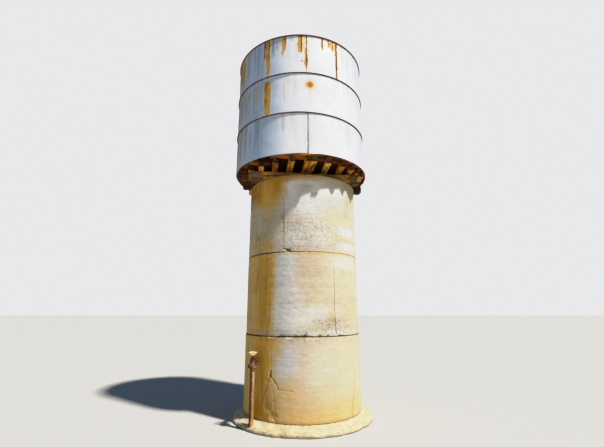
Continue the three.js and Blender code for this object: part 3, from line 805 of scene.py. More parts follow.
# Concrete colours
CREAM = (0.575, 0.478, 0.345)
OFF_WHITE = (0.64, 0.625, 0.59)
# Lighter concrete for where the deck's shadow falls on the upper lift: painted light
PAINTED_FILL_GREY = (0.76, 0.70, 0.61)
COOL_GREY = (0.56, 0.55, 0.52)
BEIGE = (0.53, 0.44, 0.30)
SAND = (0.60, 0.390, 0.125)
GOLDEN = (0.58, 0.350, 0.085)
OCHRE = (0.60, 0.315, 0.026)
DEEP_OCHRE = (0.40, 0.180, 0.010)
RUST_BROWN = (0.29, 0.120, 0.006)
PURPLE_GREY = (0.50, 0.42, 0.32)
TAN_GREY = (0.50, 0.43, 0.29)
WORN_GREY = (0.38, 0.365, 0.315)
KHAKI = (0.43, 0.33, 0.15)
STAIN_BROWN = (0.32, 0.20, 0.070)
STREAK_BROWN = (0.30, 0.145, 0.012)
CRACK_BROWN = (0.16, 0.095, 0.035)
# Painted shade in the joints' grooves, together with dirt
JOINT_SHADE_AND_DIRT = (0.030, 0.020, 0.010)
PECK_GREY = (0.15, 0.115, 0.075)
SPECK_BROWN = (0.25, 0.185, 0.11)
HOLE_DARK = (0.06, 0.043, 0.027)
# Mortar of the footing: its darker and lighter tone, lumps, sand, dirty foot and holes
MORTAR_DARK = (0.40, 0.31, 0.165)
MORTAR_LIGHT = (0.56, 0.475, 0.31)
MORTAR_LUMP = (0.27, 0.195, 0.095)
MORTAR_SAND = (0.20, 0.14, 0.07)
MORTAR_DIRT = (0.34, 0.24, 0.12)
MORTAR_HOLE = (0.12, 0.09, 0.05)

# Stains of each lift, and on the upper lift two pale grey patches of painted light: colour, angle, level, half
# angle, half height, softness, strength. Later ones lie on top.
LIFT_STAINS_AND_FILL = {
    "upper_lift": (
        (OFF_WHITE, 22, 4.32, 48, 0.36, 0.45, 0.95), (TAN_GREY, 48, 4.24, 19, 0.28, 0.6, 0.45),
        (WORN_GREY, 38, 4.20, 26, 0.34, 0.6, 0.36), (KHAKI, -44, 3.75, 26, 0.60, 0.45, 0.62),
        # The two pale grey patches lighten the concrete where the deck's shadow falls: painted light
        (PAINTED_FILL_GREY, 4, 4.62, 30, 0.16, 0.45, 0.90), (PAINTED_FILL_GREY, -12, 4.40, 8, 0.26, 0.45, 0.60),
        (OCHRE, -50, 4.62, 28, 0.42, 0.42, 1.0), (OCHRE, -28, 4.72, 10, 0.22, 0.60, 0.95),
        (RUST_BROWN, -62, 4.62, 15, 0.30, 0.5, 0.80), (DEEP_OCHRE, -27, 4.68, 5, 0.22, 0.5, 0.60),
        (GOLDEN, -39, 4.52, 4.0, 0.34, 0.7, 0.95), (PURPLE_GREY, -64, 3.98, 17, 0.32, 0.45, 0.90),
        (RUST_BROWN, -67, 4.52, 11, 0.20, 0.6, 0.60), (PURPLE_GREY, -66, 4.28, 12, 0.20, 0.6, 0.45),
        (BEIGE, 46, 3.98, 26, 0.19, 0.60, 0.85), (KHAKI, 2, 4.58, 8, 0.10, 0.7, 0.45),
        (COOL_GREY, 0, 3.55, 28, 0.30, 0.6, 0.70), (STAIN_BROWN, 8, 3.34, 24, 0.05, 0.6, 0.25),
        (OFF_WHITE, 53, 3.73, 14, 0.075, 0.70, 0.90), (OFF_WHITE, 55, 3.42, 17, 0.070, 0.70, 0.95),
        (BEIGE, 47, 3.58, 14, 0.05, 0.7, 0.60), (KHAKI, 47, 3.505, 12, 0.014, 0.7, 0.55),
        (OCHRE, -6, 4.82, 36, 0.08, 0.6, 0.60), (STAIN_BROWN, 4, 4.88, 62, 0.060, 0.6, 0.60),
        (TAN_GREY, 44, 4.76, 26, 0.14, 0.5, 0.75), (KHAKI, 60, 4.60, 12, 0.30, 0.5, 0.45),
        (GOLDEN, -55, 3.38, 24, 0.09, 0.7, 0.50), (DEEP_OCHRE, -24, 4.82, 16, 0.09, 0.5, 0.50),
        (OCHRE, -34, 3.45, 5, 0.12, 0.7, 0.5), (STAIN_BROWN, -18.3, 3.72, 1.4, 0.42, 0.8, 0.40),
    ),
    "middle_lift": (
        (SAND, -52, 2.45, 29, 1.1, 0.20, 1.0), (OCHRE, -39, 2.45, 10, 1.1, 0.40, 0.80),
        (GOLDEN, -34, 2.95, 6, 0.36, 0.5, 0.60), (DEEP_OCHRE, -40, 1.98, 4, 0.60, 0.6, 0.30),
        (COOL_GREY, -17, 2.5, 9, 1.1, 0.40, 0.80), (OFF_WHITE, -12, 2.15, 14, 0.55, 0.5, 0.45),
        (OFF_WHITE, -14, 2.95, 8, 0.24, 0.5, 0.50), (BEIGE, 14, 2.78, 14, 0.30, 0.7, 0.45),
        (BEIGE, 52, 2.60, 16, 0.42, 0.6, 0.45), (OFF_WHITE, 46, 3.08, 17, 0.13, 0.6, 0.40),
        (OFF_WHITE, 6, 2.02, 26, 0.18, 0.7, 0.65), (TAN_GREY, 33, 1.80, 22, 0.16, 0.5, 0.75),
        (WORN_GREY, 31, 1.87, 9, 0.13, 0.6, 0.75), (GOLDEN, 28, 1.98, 4, 0.16, 0.7, 0.45),
        (BEIGE, 50, 2.0, 14, 0.30, 0.5, 0.50), (STAIN_BROWN, -34, 1.70, 22, 0.06, 0.6, 0.35),
        (COOL_GREY, 8, 1.69, 44, 0.07, 0.7, 0.6), (GOLDEN, 0, 3.22, 60, 0.04, 0.7, 0.35),
    ),
    "lower_lift": (
        (SAND, -52, 0.9, 27, 0.95, 0.20, 1.0), (OCHRE, -40, 0.9, 9, 0.95, 0.4, 0.80),
        (OCHRE, -38, 1.22, 8, 0.36, 0.4, 0.50), (COOL_GREY, -13, 1.17, 10, 0.31, 0.45, 0.80),
        (GOLDEN, -26, 1.46, 8, 0.16, 0.6, 0.65), (GOLDEN, 5, 0.20, 64, 0.34, 0.9, 0.80),
        (GOLDEN, -16, 0.72, 14, 0.20, 0.8, 0.55), (OCHRE, -42, 0.28, 12, 0.26, 0.5, 0.95),
        (DEEP_OCHRE, -44, 0.30, 7, 0.24, 0.6, 0.55), (KHAKI, -28, 0.42, 8, 0.20, 0.6, 0.20),
        (OCHRE, -34, 1.56, 14, 0.07, 0.7, 0.65), (OFF_WHITE, 15, 1.18, 12, 0.30, 0.7, 0.30),
        (STAIN_BROWN, 0, 0.155, 76, 0.035, 0.7, 0.50), (BEIGE, 30, 0.95, 26, 0.5, 0.8, 0.30),
    ),
}
# Soft golden lines where water has run, of each lift: from and to as (angle, height), half width, strength
RUN_LINES = {
    "upper_lift": (((-61.0, 4.70), (-60.0, 3.9), 0.014, 0.5),),
    "middle_lift": (((-45.0, 3.2), (-44.5, 1.7), 0.016, 0.35),),
    "lower_lift": (((58.2, 0.98), (53.5, 0.50), 0.022, 0.55), ((53.5, 0.50), (49.0, 0.12), 0.030, 0.85)),
}
# Upright form seams of each lift: angle, top, bottom, half width, strength
FORM_SEAMS = {
    "upper_lift": ((-18.3, 4.36, 3.28, 0.011, 0.36), (-18.3, 4.00, 3.58, 0.011, 0.72), (161.0, 4.86, 3.25, 0.008, 0.6)),
    "middle_lift": ((31.2, 2.96, 1.66, 0.009, 0.50), (-148.0, 3.2, 1.66, 0.008, 0.6)),
    "lower_lift": ((-28.6, 1.60, 0.98, 0.009, 0.55), (151.0, 1.6, 0.2, 0.008, 0.6)),
}
# Cracks of each lift: from and to as (angle, height), half width, strength
CRACKS = {
    "upper_lift": (((-18.3, 3.32), (-12.5, 3.29), 0.014, 0.9), ((57.7, 4.60), (49.6, 4.05), 0.010, 0.20)),
    "middle_lift": (((31.0, 1.98), (32.6, 1.68), 0.010, 0.6), ((2.0, 1.64), (3.0, 1.72), 0.008, 0.6)),
    "lower_lift": (
        ((-28.6, 1.02), (-29.4, 0.93), 0.020, 0.95), ((-29.2, 0.96), (-23.2, 0.80), 0.013, 0.70),
        ((-23.2, 0.80), (-20.8, 0.71), 0.012, 0.60), ((-20.8, 0.71), (-8.0, 0.695), 0.009, 0.26),
        ((-29.6, 0.94), (-34.5, 0.62), 0.015, 0.50), ((-34.5, 0.62), (-37.4, 0.50), 0.013, 0.40),
        ((-34.5, 0.62), (-30.5, 0.36), 0.013, 0.30), ((-30.5, 0.36), (-24.0, 0.20), 0.013, 0.30),
        ((-26.0, 0.66), (-24.5, 0.44), 0.010, 0.22), ((57.5, 0.88), (50.0, 0.15), 0.008, 0.30),
    ),
}
# How strongly each lift is mottled
MOTTLE = {"upper_lift": 0.17, "middle_lift": 0.14, "lower_lift": 0.09}
# Dark spots and blow-hole groups: angle, level, half angle, half height, strength
PITTED = {
    "upper_lift": ((4, 3.62, 32, 0.38, 1.0), (-15, 3.76, 4, 0.10, 1.4), (-49, 3.59, 4, 0.06, 1.6),
                   (20, 4.2, 40, 0.3, 0.35)),
    "middle_lift": ((32, 1.80, 22, 0.19, 1.25), (-16, 2.4, 9, 0.8, 0.5), (0, 1.70, 60, 0.06, 0.9),
                    (0, 2.3, 60, 0.6, 0.25)),
    "lower_lift": ((-30, 0.42, 9, 0.22, 0.8), (0, 1.58, 60, 0.05, 0.7), (-12, 1.2, 10, 0.3, 0.3)),
}
# The dark line along each lift's foot and head, painted shade in the joint's groove together with dirt: its width
# in metres left of an angle, right of another one, and those two angles
JOINT_LINES = {
    "upper_lift": ((0.011, 0.003, -34.0, 10.0), (0.004, 0.004, -30.0, 30.0)),
    "middle_lift": ((0.014, 0.011, -20.0, 60.0), (0.009, 0.002, -34.0, 10.0)),
    "lower_lift": ((0.006, 0.006, -20.0, 20.0), (0.011, 0.008, -20.0, 60.0)),
}


def shaft_concrete(lift, radius, bottom, top):
    """Old cast concrete: cream with stains placed one by one, form seams, cracks, blow holes, a dark broken line
    at the joints, painted shade in the groove together with dirt, and rows of board marks. On the upper lift two
    pale patches are painted light where the deck's shadow falls. The ochre of the left side runs down in streaks,
    and round the back ochre and cream bands change by noise."""
    finish, tree, shader, place = new_finish(f"concrete_{lift}", Specular_IOR_Level=0.18)
    angle, height = use(tree, ROUND_PLACE, {"Place": place}).values()
    wall = {"Angle": angle, "Height": height}
    metres = math.radians(radius)
    coarse = noise(tree, place, 3.1, 4.0, 0.6)
    fine = noise(tree, place, 17.0, 4.0, 0.65)
    warp = plus(tree, centred(tree, coarse, 1.1), centred(tree, fine, 0.45))

    def patch(at, level, half_angle, half_height, softness, strength):
        """The mask of one stain."""
        inputs = {"At": float(at), "Level": level, "Half Angle": float(half_angle), "Half Height": half_height,
                  "Warp": warp, "Softness": softness, "Strength": strength}
        return use(tree, PATCH, {**wall, **inputs})[0]

    pitting = strongest(tree, [patch(*row[:4], 0.5, row[4]) for row in PITTED[lift]])
    tone, sand, holes, surface = use(tree, GRIT, {"Place": place, "Pitting": times(tree, pitting, 0.34)}).values()

    bands = drawn_noise(tree, place, (1.0, 1.0, 0.16), 1.9, 4.0, 0.6)
    behind = strongest(tree, [fade(tree, angle, -72.0, -96.0), fade(tree, angle, 70.0, 100.0)])
    colour = blend(tree, fade(tree, bands, 0.42, 0.70), CREAM, BEIGE)
    colour = blend(tree, times(tree, behind, fade(tree, bands, 0.48, 0.62)), colour, GOLDEN)
    for stain, *row in LIFT_STAINS_AND_FILL[lift]:
        colour = blend(tree, patch(*row), colour, stain)

    shift = centred(tree, noise(tree, place, 12.0, 3.0), 0.05)
    across = calc(tree, "MULTIPLY_ADD", angle, metres, shift)
    up = plus(tree, height, shift)

    def seams_and_cracks():
        """The mask of each form seam and each crack."""
        for at, line_top, line_bottom, half_width, strength in FORM_SEAMS[lift]:
            inputs = {"Metres Per Degree": metres, "At": at, "Top": line_top, "Bottom": line_bottom,
                      "Half Width": half_width, "Taper": 0.8, "Strength": strength, "Bend": warp}
            yield use(tree, RUN, {**wall, **inputs})[0]
        yield from segments(CRACKS[lift])

    def segments(table):
        """The mask of each straight line of a table."""
        for start, end, half_width, strength in table:
            inputs = {"Across": across, "Up": up, "From": (start[0] * metres, start[1], 0.0), "Strength": strength,
                      "To": (end[0] * metres, end[1], 0.0), "Half Width": half_width}
            yield use(tree, CRACK, inputs)[0]

    colour = blend(tree, strongest(tree, segments(RUN_LINES[lift])), colour, GOLDEN)
    lines = strongest(tree, seams_and_cracks())

    streaks = drawn_noise(tree, place, (1.0, 1.0, 0.09), 15.0, 4.0, 0.65)
    on_left = times(tree, fade(tree, angle, -16.0, -34.0), fade(tree, angle, -74.0, -60.0))
    colour = blend(tree, times(tree, on_left, fade(tree, streaks, 0.50, 0.66, 0.0, 0.55)), colour, STREAK_BROWN)
    colour = blend(tree, times(tree, on_left, fade(tree, streaks, 0.46, 0.34, 0.0, 0.40)), colour, GOLDEN)

    mottle = fade(tree, tone, 0.32, 0.66, 0.98 - MOTTLE[lift], 0.98 + MOTTLE[lift])
    colour = node(tree, "ShaderNodeMix", {0: 1.0, 6: colour, 7: combine(tree, mottle, mottle, mottle)},
                  data_type="RGBA", blend_type="MULTIPLY").outputs[2]
    speck = times(tree, fade(tree, sand, 0.58, 0.74), 2.0 * MOTTLE[lift])
    speck = greater(tree, speck, times(tree, pitting, fade(tree, fine, 0.52, 0.66, 0.0, 0.5)))
    colour = blend(tree, speck, colour, SPECK_BROWN)
    pecks = drawn_noise(tree, place, (0.8, 0.8, 3.4), 46.0, 2.0)
    pecks = times(tree, fade(tree, pecks, 0.56, 0.66), fade(tree, pitting, 0.0, 0.8, 0.06, 0.62))
    colour = blend(tree, pecks, colour, PECK_GREY)
    colour = blend(tree, times(tree, lines, 0.9), colour, CRACK_BROWN)
    deep = times(tree, holes, fade(tree, pitting, 0.0, 0.5, 0.12, 0.42))
    colour = blend(tree, deep, colour, HOLE_DARK)
    ragged = centred(tree, fine, 0.05)
    foot = minus(tree, height, float(bottom))
    head = minus(tree, float(top), height)
    for away, (left_width, right_width, left, right) in zip((foot, head), JOINT_LINES[lift]):
        width = fade(tree, angle, left, right, left_width, right_width)
        rough_away = plus(tree, away, ragged)
        colour = blend(tree, fade(tree, rough_away, 0.040, 0.0, 0.0, 0.50), colour, STAIN_BROWN)
        share = over(tree, calc(tree, "MULTIPLY_ADD", ragged, 0.4, away), width)
        # Painted shade in the joint's groove, together with its dirt
        colour = blend(tree, fade(tree, share, 1.3, 0.6, 0.0, 0.95), colour, JOINT_SHADE_AND_DIRT)
    surface = minus(tree, surface, times(tree, lines, 2.0))
    dress(tree, shader, colour, fade(tree, tone, 0.3, 0.7, 0.82, 0.97), surface, CONCRETE_RELIEF, 0.8)
    return finish


def footing_concrete():
    """The footing: pale rough mortar with a dirty foot."""
    finish, tree, shader, place = new_finish("concrete_footing", Specular_IOR_Level=0.3)
    tone, sand, holes, surface = use(tree, GRIT, {"Place": place, "Pitting": 0.1}).values()
    lumps = noise(tree, place, 11.0, 6.0, 0.7)
    height = separate(tree, place)[2]
    colour = blend(tree, fade(tree, tone, 0.36, 0.62), MORTAR_DARK, MORTAR_LIGHT)
    colour = blend(tree, fade(tree, lumps, 0.50, 0.66, 0.0, 0.75), colour, MORTAR_LUMP)
    colour = blend(tree, fade(tree, sand, 0.58, 0.72, 0.0, 0.45), colour, MORTAR_SAND)
    low = plus(tree, height, centred(tree, lumps, -0.05))
    colour = blend(tree, fade(tree, low, 0.05, 0.0, 0.0, 0.7), colour, MORTAR_DIRT)
    colour = blend(tree, times(tree, holes, 0.8), colour, MORTAR_HOLE)
    surface = calc(tree, "MULTIPLY_ADD", lumps, 1.8, surface)
    dress(tree, shader, colour, fade(tree, tone, 0.3, 0.7, 0.85, 0.98), surface, MORTAR_RELIEF)
    return finish


# Timber: the dark, middle and light brown of each kind, and its weathered colour
TIMBER_TONES = {
    "beam": ((0.13, 0.050, 0.008), (0.42, 0.21, 0.034), (0.68, 0.38, 0.09), (0.30, 0.175, 0.060)),
    # The rear beam's set is the beam's timber darkened as painted shade for beams on the shade side; the middle beam
    # takes it too
    "rear_beam": ((0.05, 0.018, 0.005), (0.15, 0.060, 0.016), (0.30, 0.14, 0.035), (0.13, 0.070, 0.030)),
    "joist": ((0.13, 0.036, 0.004), (0.58, 0.22, 0.020), (0.92, 0.50, 0.08), (0.060, 0.027, 0.006)),
    # The plank's set is darkened as painted shade for the deck's underside, which no light reaches
    "plank": ((0.016, 0.005, 0.002), (0.115, 0.029, 0.006), (0.40, 0.12, 0.022), (0.12, 0.040, 0.014)),
}
# Steps of the weathered colour along the grain: where, and what share of it
WEATHER_STEPS = ((0.34, 0.22), (0.52, 0.6), (0.70, 1.0))
TIMBER_BLACK = (0.022, 0.012, 0.007)
TIMBER_SPLIT = (0.015, 0.009, 0.005)
# Painted shade far in under the tank
TIMBER_PAINTED_SHADE = (0.010, 0.005, 0.003)
# Painted shade under the tank starts and is full at these distances from the shaft's axis
SHADE_STARTS, SHADE_FULL = 1.56, 1.34


def old_timber(kind, shade_under_tank=0.0):
    """Sawn timber: three browns by the grain and by the board, blackened in patches, duller where weather reaches
    it, with arrises lightened as worn wood and as a painted highlight, and drying cracks that gape in the weather. A
    painted shade darkens it far in under the tank."""
    dark, middle, light, weathered = TIMBER_TONES[kind]
    finish, tree, shader, place = new_finish(f"timber_{kind}", Specular_IOR_Level=0.05)
    grain = node(tree, "ShaderNodeAttribute", attribute_name="grain").outputs["Vector"]
    weather = node(tree, "ShaderNodeAttribute", attribute_name="weather").outputs["Fac"]
    tone, fibre, split, surface = use(tree, GRAIN, {"Grain": grain}).values()
    board = drawn_noise(tree, grain, (0.25, 0.5, 0.9), 1.0, 1.0)
    mixed = plus(tree, times(tree, tone, 0.60), times(tree, fibre, 0.30))
    mixed = plus(tree, mixed, times(tree, minus(tree, board, 0.37), 0.85))
    brown = ramp(tree, mixed, ((0.34, dark), (0.54, middle), (0.74, light)))
    dull = ramp(tree, mixed, [(step, tuple(share * part for part in weathered)) for step, share in WEATHER_STEPS])
    patchy = plus(tree, weather, centred(tree, tone, 0.9))
    colour = blend(tree, fade(tree, patchy, 0.25, 0.75), brown, dull)
    black = fade(tree, drawn_noise(tree, grain, (2.2, 8.5, 8.5), 1.0, 4.0, 0.65), 0.50, 0.63, 0.0, 0.88)
    colour = blend(tree, black, colour, TIMBER_BLACK)
    away = aim(tree, "LENGTH", aim(tree, "MULTIPLY", place, (1.0, 1.0, 0.0)), answer="Value")
    # Painted shade that grows inward from the deck's edge
    inward = fade(tree, calc(tree, "MULTIPLY_ADD", tone, 0.3, away), SHADE_STARTS, SHADE_FULL)
    colour = blend(tree, times(tree, inward, shade_under_tank), colour, TIMBER_PAINTED_SHADE)
    # Arrises are lighter: worn wood together with a painted highlight along the edges, less where weathered
    arris = fade(tree, node(tree, "ShaderNodeNewGeometry").outputs["Pointiness"], 0.53, 0.60, 0.0, 0.45)
    colour = blend(tree, times(tree, arris, fade(tree, weather, 0.2, 0.8, 1.0, 0.15)), colour, light)
    gape = drawn_noise(tree, grain, (0.8, 20.0, 20.0), 1.0, 2.0, 0.5)
    gape = fade(tree, from_middle(tree, gape, 0.5), 0.040, 0.010)
    split = greater(tree, split, times(tree, gape, fade(tree, weather, 0.1, 0.9, 0.15, 0.95)))
    colour = blend(tree, times(tree, split, 0.9), colour, TIMBER_SPLIT)
    dress(tree, shader, colour, fade(tree, fibre, 0.3, 0.7, 0.78, 0.96), surface, TIMBER_RELIEF)
    return finish


def wheel_paint():
    """The handwheel: thick cream paint, worn to rust along its edges and at the two sides where hands hold it."""
    finish, tree, shader, place = new_finish("wheel_paint")
    amount, surface = use(tree, SCALE, {"Place": place, "Size": 26.0}).values()
    edge = node(tree, "ShaderNodeNewGeometry").outputs["Pointiness"]
    worn = fade(tree, calc(tree, "MULTIPLY_ADD", amount, 0.10, edge), 0.55, 0.66, 0.0, 0.8)
    paint = blend(tree, amount, WHEEL_CREAM, WHEEL_BUFF)
    aside = from_middle(tree, separate(tree, place)[0], PIPE_X)
    held = fade(tree, calc(tree, "MULTIPLY_ADD", amount, 0.010, aside), 0.062, 0.078, 0.0, 0.9)
    worn = greater(tree, worn, held)
    colour = blend(tree, worn, paint, WHEEL_RUST)
    dress(tree, shader, colour, fade(tree, worn, 0.0, 1.0, 0.42, 0.85), surface, PAINT_RELIEF)
    return finish


def pipe_iron():
    """The riser and the branch: brown rust, with painted shade down the riser's left side and painted light down its
    right.
    """
    finish, tree, shader, place, amount, colour, surface = rusted("pipe_iron", PIPE_RUST, 9.0, Specular_IOR_Level=0.35)
    angle, height = use(tree, ROUND_PLACE, {"Place": place, "Centre": (PIPE_X, PIPE_Y, 0.0)}).values()
    edge = calc(tree, "MULTIPLY_ADD", minus(tree, amount, 0.5), 24.0, angle)
    # Painted light down the riser's lit right side
    pale = times(tree, fade(tree, edge, 8.0, 26.0), fade(tree, edge, 80.0, 52.0))
    colour = blend(tree, times(tree, pale, fade(tree, height, 0.55, 0.95, 0.30, 0.75)), colour, PIPE_PAINTED_LIGHT)
    # Painted shade down the riser's left side
    colour = blend(tree, fade(tree, edge, 9.0, -11.0, 0.0, 0.88), colour, PIPE_PAINTED_SHADE)
    dress(tree, shader, colour, fade(tree, amount, 0.0, 1.0, 0.65, 0.85), surface, RUST_RELIEF)
    return finish


def valve_iron():
    """The valve: nearly black rusted iron, with a paler pinkish neck over the flange."""
    finish, tree, shader, place, amount, iron, surface = rusted("valve_iron", VALVE_RUST, 16.0, Specular_IOR_Level=0.3)
    angle, height = use(tree, ROUND_PLACE, {"Place": place, "Centre": (PIPE_X, PIPE_Y, 0.0)}).values()
    foot = RISER_TOP + FLANGE_THICKNESS
    neck = times(tree, fade(tree, height, foot, foot + 0.008), fade(tree, height, foot + 0.058, foot + 0.046))
    neck = times(tree, neck, fade(tree, amount, 0.2, 0.8, 0.3, 1.0))
    neck = times(tree, neck, fade(tree, from_middle(tree, angle, 12.0), 40.0, 22.0))
    colour = blend(tree, neck, iron, VALVE_NECK)
    dress(tree, shader, colour, fade(tree, amount, 0.0, 1.0, 0.65, 0.9), surface, RUST_RELIEF)
    return finish


# Concrete

LIFT_ROW_STEP = 0.018
LIFT_COLUMN_STEP = 1.0
JOINT_ROWS = (0.0, 0.004, 0.009, 0.015, 0.022, 0.032, 0.045)
# Closer columns where seams and cracks run: from, to, step in degrees
FINE_COLUMNS = {
    "upper_lift": ((-20.5, -10.0, 0.3), (160.4, 161.6, 0.2)),
    "middle_lift": ((30.4, 33.0, 0.2), (-148.6, -147.4, 0.2)),
    "lower_lift": ((-39.0, -19.5, 0.35), (49.5, 58.0, 0.4), (150.4, 151.6, 0.2)),
}
# How deep each joint's edges are broken away: (angle, depth in metres) from the left to the right
JOINT_WEAR = {
    ("lower_lift", "middle_lift"): ((-180, 0.012), (-80, 0.014), (-40, 0.018), (-10, 0.026), (20, 0.024), (70, 0.014),
                                    (180, 0.012)),
    ("middle_lift", "upper_lift"): ((-180, 0.010), (-75, 0.022), (-20, 0.024), (0, 0.010), (30, 0.007), (70, 0.005),
                                    (180, 0.010)),
}
# Broken hollows of each lift: angle, level, half width, half height, depth
HOLLOWS = {
    "upper_lift": (
        (-13.0, 3.290, 0.060, 0.035, 0.040), (-49.0, 3.59, 0.030, 0.030, 0.012), (-58.0, 3.27, 0.10, 0.03, 0.02),
        (-14.6, 3.73, 0.018, 0.020, 0.008), (84.0, 4.1, 0.05, 0.06, 0.010), (130.0, 3.28, 0.09, 0.04, 0.03),
    ),
    "middle_lift": (
        (2.4, 1.655, 0.035, 0.030, 0.030), (15.8, 1.655, 0.030, 0.022, 0.025), (23.5, 1.655, 0.035, 0.020, 0.02),
        (-100.0, 3.24, 0.08, 0.03, 0.02), (-170.0, 2.4, 0.06, 0.05, 0.012),
    ),
    "lower_lift": (
        (-29.1, 0.965, 0.030, 0.050, 0.022), (-32.0, 0.42, 0.10, 0.09, 0.010), (-25.0, 0.26, 0.09, 0.08, 0.010),
        (100.0, 1.62, 0.10, 0.03, 0.025), (-120.0, 0.2, 0.12, 0.05, 0.02),
    ),
}


def with_fine_stretches(low, high, step, stretches, closed=False):
    """Places from low to high a step apart, and closer within each (from, to, step) stretch."""
    places = [np.arange(low, high, step)] + ([] if closed else [np.array([high])])
    places += [np.arange(start, end, fine) for start, end, fine in stretches]
    return np.unique(np.round(np.concatenate(places), 4))


def lift_joints(lift):
    """The wear table at the lift's foot and at its head."""
    foot = next((wear for pair, wear in JOINT_WEAR.items() if pair[1] == lift), ((-180, 0.006), (180, 0.006)))
    head = next((wear for pair, wear in JOINT_WEAR.items() if pair[0] == lift), ((-180, 0.008), (180, 0.008)))
    return foot, head


def segment_distance(across, up, start, end):
    """Distance in metres from points of the unrolled wall to the segment from start to end."""
    whole = np.array(end) - np.array(start)
    share = np.clip(((across - start[0]) * whole[0] + (up - start[1]) * whole[1]) / (whole @ whole), 0, 1)
    return np.hypot(across - start[0] - share * whole[0], up - start[1] - share * whole[1])


def lift_skin(lift, radius, bottom, top, angle, height):
    """The wall's radius at each angle and height: the radius, less a slow bulge of the forms, rows of boards,
    edges worn by noise at the joints, broken hollows, and grooves along seams and cracks."""
    metres = math.radians(radius)
    around = angle / 360
    seed = 11 * LIFTS.index(lift) + 5
    skin = radius - 0.002 + 0.003 * rough_noise(around * 9, height * 1.1, seed, 9, 3)
    skin = skin + 0.0012 * rough_noise(around * 150, height * 20, seed + 1, 150, 3)
    skin = skin + 0.0010 * wave_noise(around * 5, height * 9.0, seed + 2, 5)
    chips = 0.55 + 0.9 * np.clip(rough_noise(around * 60, height * 3, seed + 3, 60, 4), -0.55, 1.0)
    for wear, away in zip(lift_joints(lift), (height - bottom, top - height)):
        table = np.array(wear, float)
        depth = np.interp(angle, table[:, 0], table[:, 1]) * chips
        reach = np.maximum(depth * 1.3, 0.006)
        skin = skin - depth * np.clip(1 - away / reach, 0, 1) ** 1.6
    for at, level, half_width, half_height, depth in HOLLOWS[lift]:
        squared = ((angle - at) * metres / half_width) ** 2 + ((height - level) / half_height) ** 2
        ragged = 1 + 0.5 * rough_noise(around * 260, height * 30, seed + 4, 260, 3)
        skin = skin - depth * np.clip(1 - squared * ragged, 0, 1) ** 0.6
    for at, line_top, line_bottom, half_width, strength in FORM_SEAMS[lift]:
        within = eased_step(height, line_bottom, line_bottom + 0.05) * eased_step(height, line_top, line_top - 0.05)
        skin = skin - 0.007 * strength * within * np.clip(1 - np.abs(angle - at) * metres / (half_width * 1.3), 0, 1)
    for start, end, half_width, strength in CRACKS[lift]:
        distance = segment_distance(angle * metres, height, (start[0] * metres, start[1]), (end[0] * metres, end[1]))
        skin = skin - 0.010 * strength * np.clip(1 - distance / (half_width * 1.4), 0, 1)
    return skin


def make_lift(lift):
    """One lift: the worn outer wall, a plain bore, and flat rims between them, as one closed ring of loops."""
    low, high = corners(lift)
    bottom, top, radius = low[2], high[2], high[0]
    angle = with_fine_stretches(-180.0, 180.0, LIFT_COLUMN_STEP, FINE_COLUMNS[lift], closed=True)
    joint = np.array(JOINT_ROWS)
    middle = np.linspace(bottom + 0.06, top - 0.06, int((top - bottom) / LIFT_ROW_STEP))
    height = np.concatenate([bottom + joint, middle, top - joint[::-1]])[:, None]
    outer = on_cylinder(angle[None], lift_skin(lift, radius, bottom, top, angle[None], height), height)
    bore = radius - WALL_THICKNESS
    inner = on_cylinder(angle[None], np.array([[bore], [bore]]), np.array([[top], [bottom]]))
    shape = closed_ring(np.concatenate([outer, inner]))
    show(f"{lift}_cast", shape, shaft_concrete(lift, radius, bottom, top), "shaft_concrete", [lift], crease=55.0)


def make_footing():
    """The footing: a flat base, a rough broken rim and a top that falls away from the wall. Its radius and its
    height both move with layered noise, more at the rim than at the wall."""
    wall = corners("lower_lift")[1][0]
    profile = eased([(0.02, 0.0), (FOOTING_RADIUS - 0.008, 0.0), (FOOTING_RADIUS - 0.004, 0.045),
                     (FOOTING_RADIUS - 0.045, FOOTING_RIM_HEIGHT), (wall + 0.02, FOOTING_TOP - 0.004),
                     (wall - 0.03, FOOTING_TOP), (0.05, FOOTING_TOP)], 0.02, 5)
    length = np.concatenate([[0], np.cumsum(np.linalg.norm(np.diff(profile, axis=0), axis=1))])
    place = np.unique(np.concatenate([length, np.arange(FOOTING_RADIUS - 0.02, length[-1] - wall + 0.1, 0.012)]))
    radius, height = np.interp(place, length, profile[:, 0])[:, None], np.interp(place, length, profile[:, 1])[:, None]
    angle = np.linspace(-180, 180, 480, endpoint=False)[None]
    around = angle / 360
    rim = eased_step(radius, wall, FOOTING_RADIUS - 0.03) * (height > 0.001)
    lumps = rough_noise(around * 70, place[:, None] * 9, 71, 70, 4)
    slow = rough_noise(around * 13, place[:, None] * 2, 75, 13, 3)
    out = radius - rim * (0.010 - 0.012 * lumps - 0.022 * slow)
    up = height + (height > 0.03) * (0.006 * lumps + 0.008 * slow * rim) * eased_step(radius, wall - 0.02, wall + 0.03)
    loops = on_cylinder(angle, np.minimum(out, FOOTING_RADIUS + 0.006), np.maximum(up, 0.0))
    show("footing_collar", closed_tube(loops), footing_concrete(), "footing_concrete", ["footing"], crease=70.0)


# Timber

TIMBER_ARRIS = 0.006
SECTION_STEP = 0.018
STATION_STEP = 0.045
END_STATIONS = (0.004, 0.012, 0.022, 0.034, 0.048, 0.066)
# Gap between the two timbers of a built-up beam, and its bolts: place along the beam, share of its height
BEAM_GAP = 0.003
BEAM_BOLTS = ((-1.08, 0.64), (-0.86, 0.36), (0.86, 0.64), (1.08, 0.36))
# Washer, nut and stub end: (radius, height) profile and number of sides
BEAM_BOLT_PROFILES = (
    (((0.022, -0.002), (0.022, 0.003)), 4),
    (((0.011, 0.003), (0.011, 0.010), (0.009, 0.012)), 6),
    (((0.006, 0.010), (0.006, 0.018), (0.005, 0.020)), 10),
)


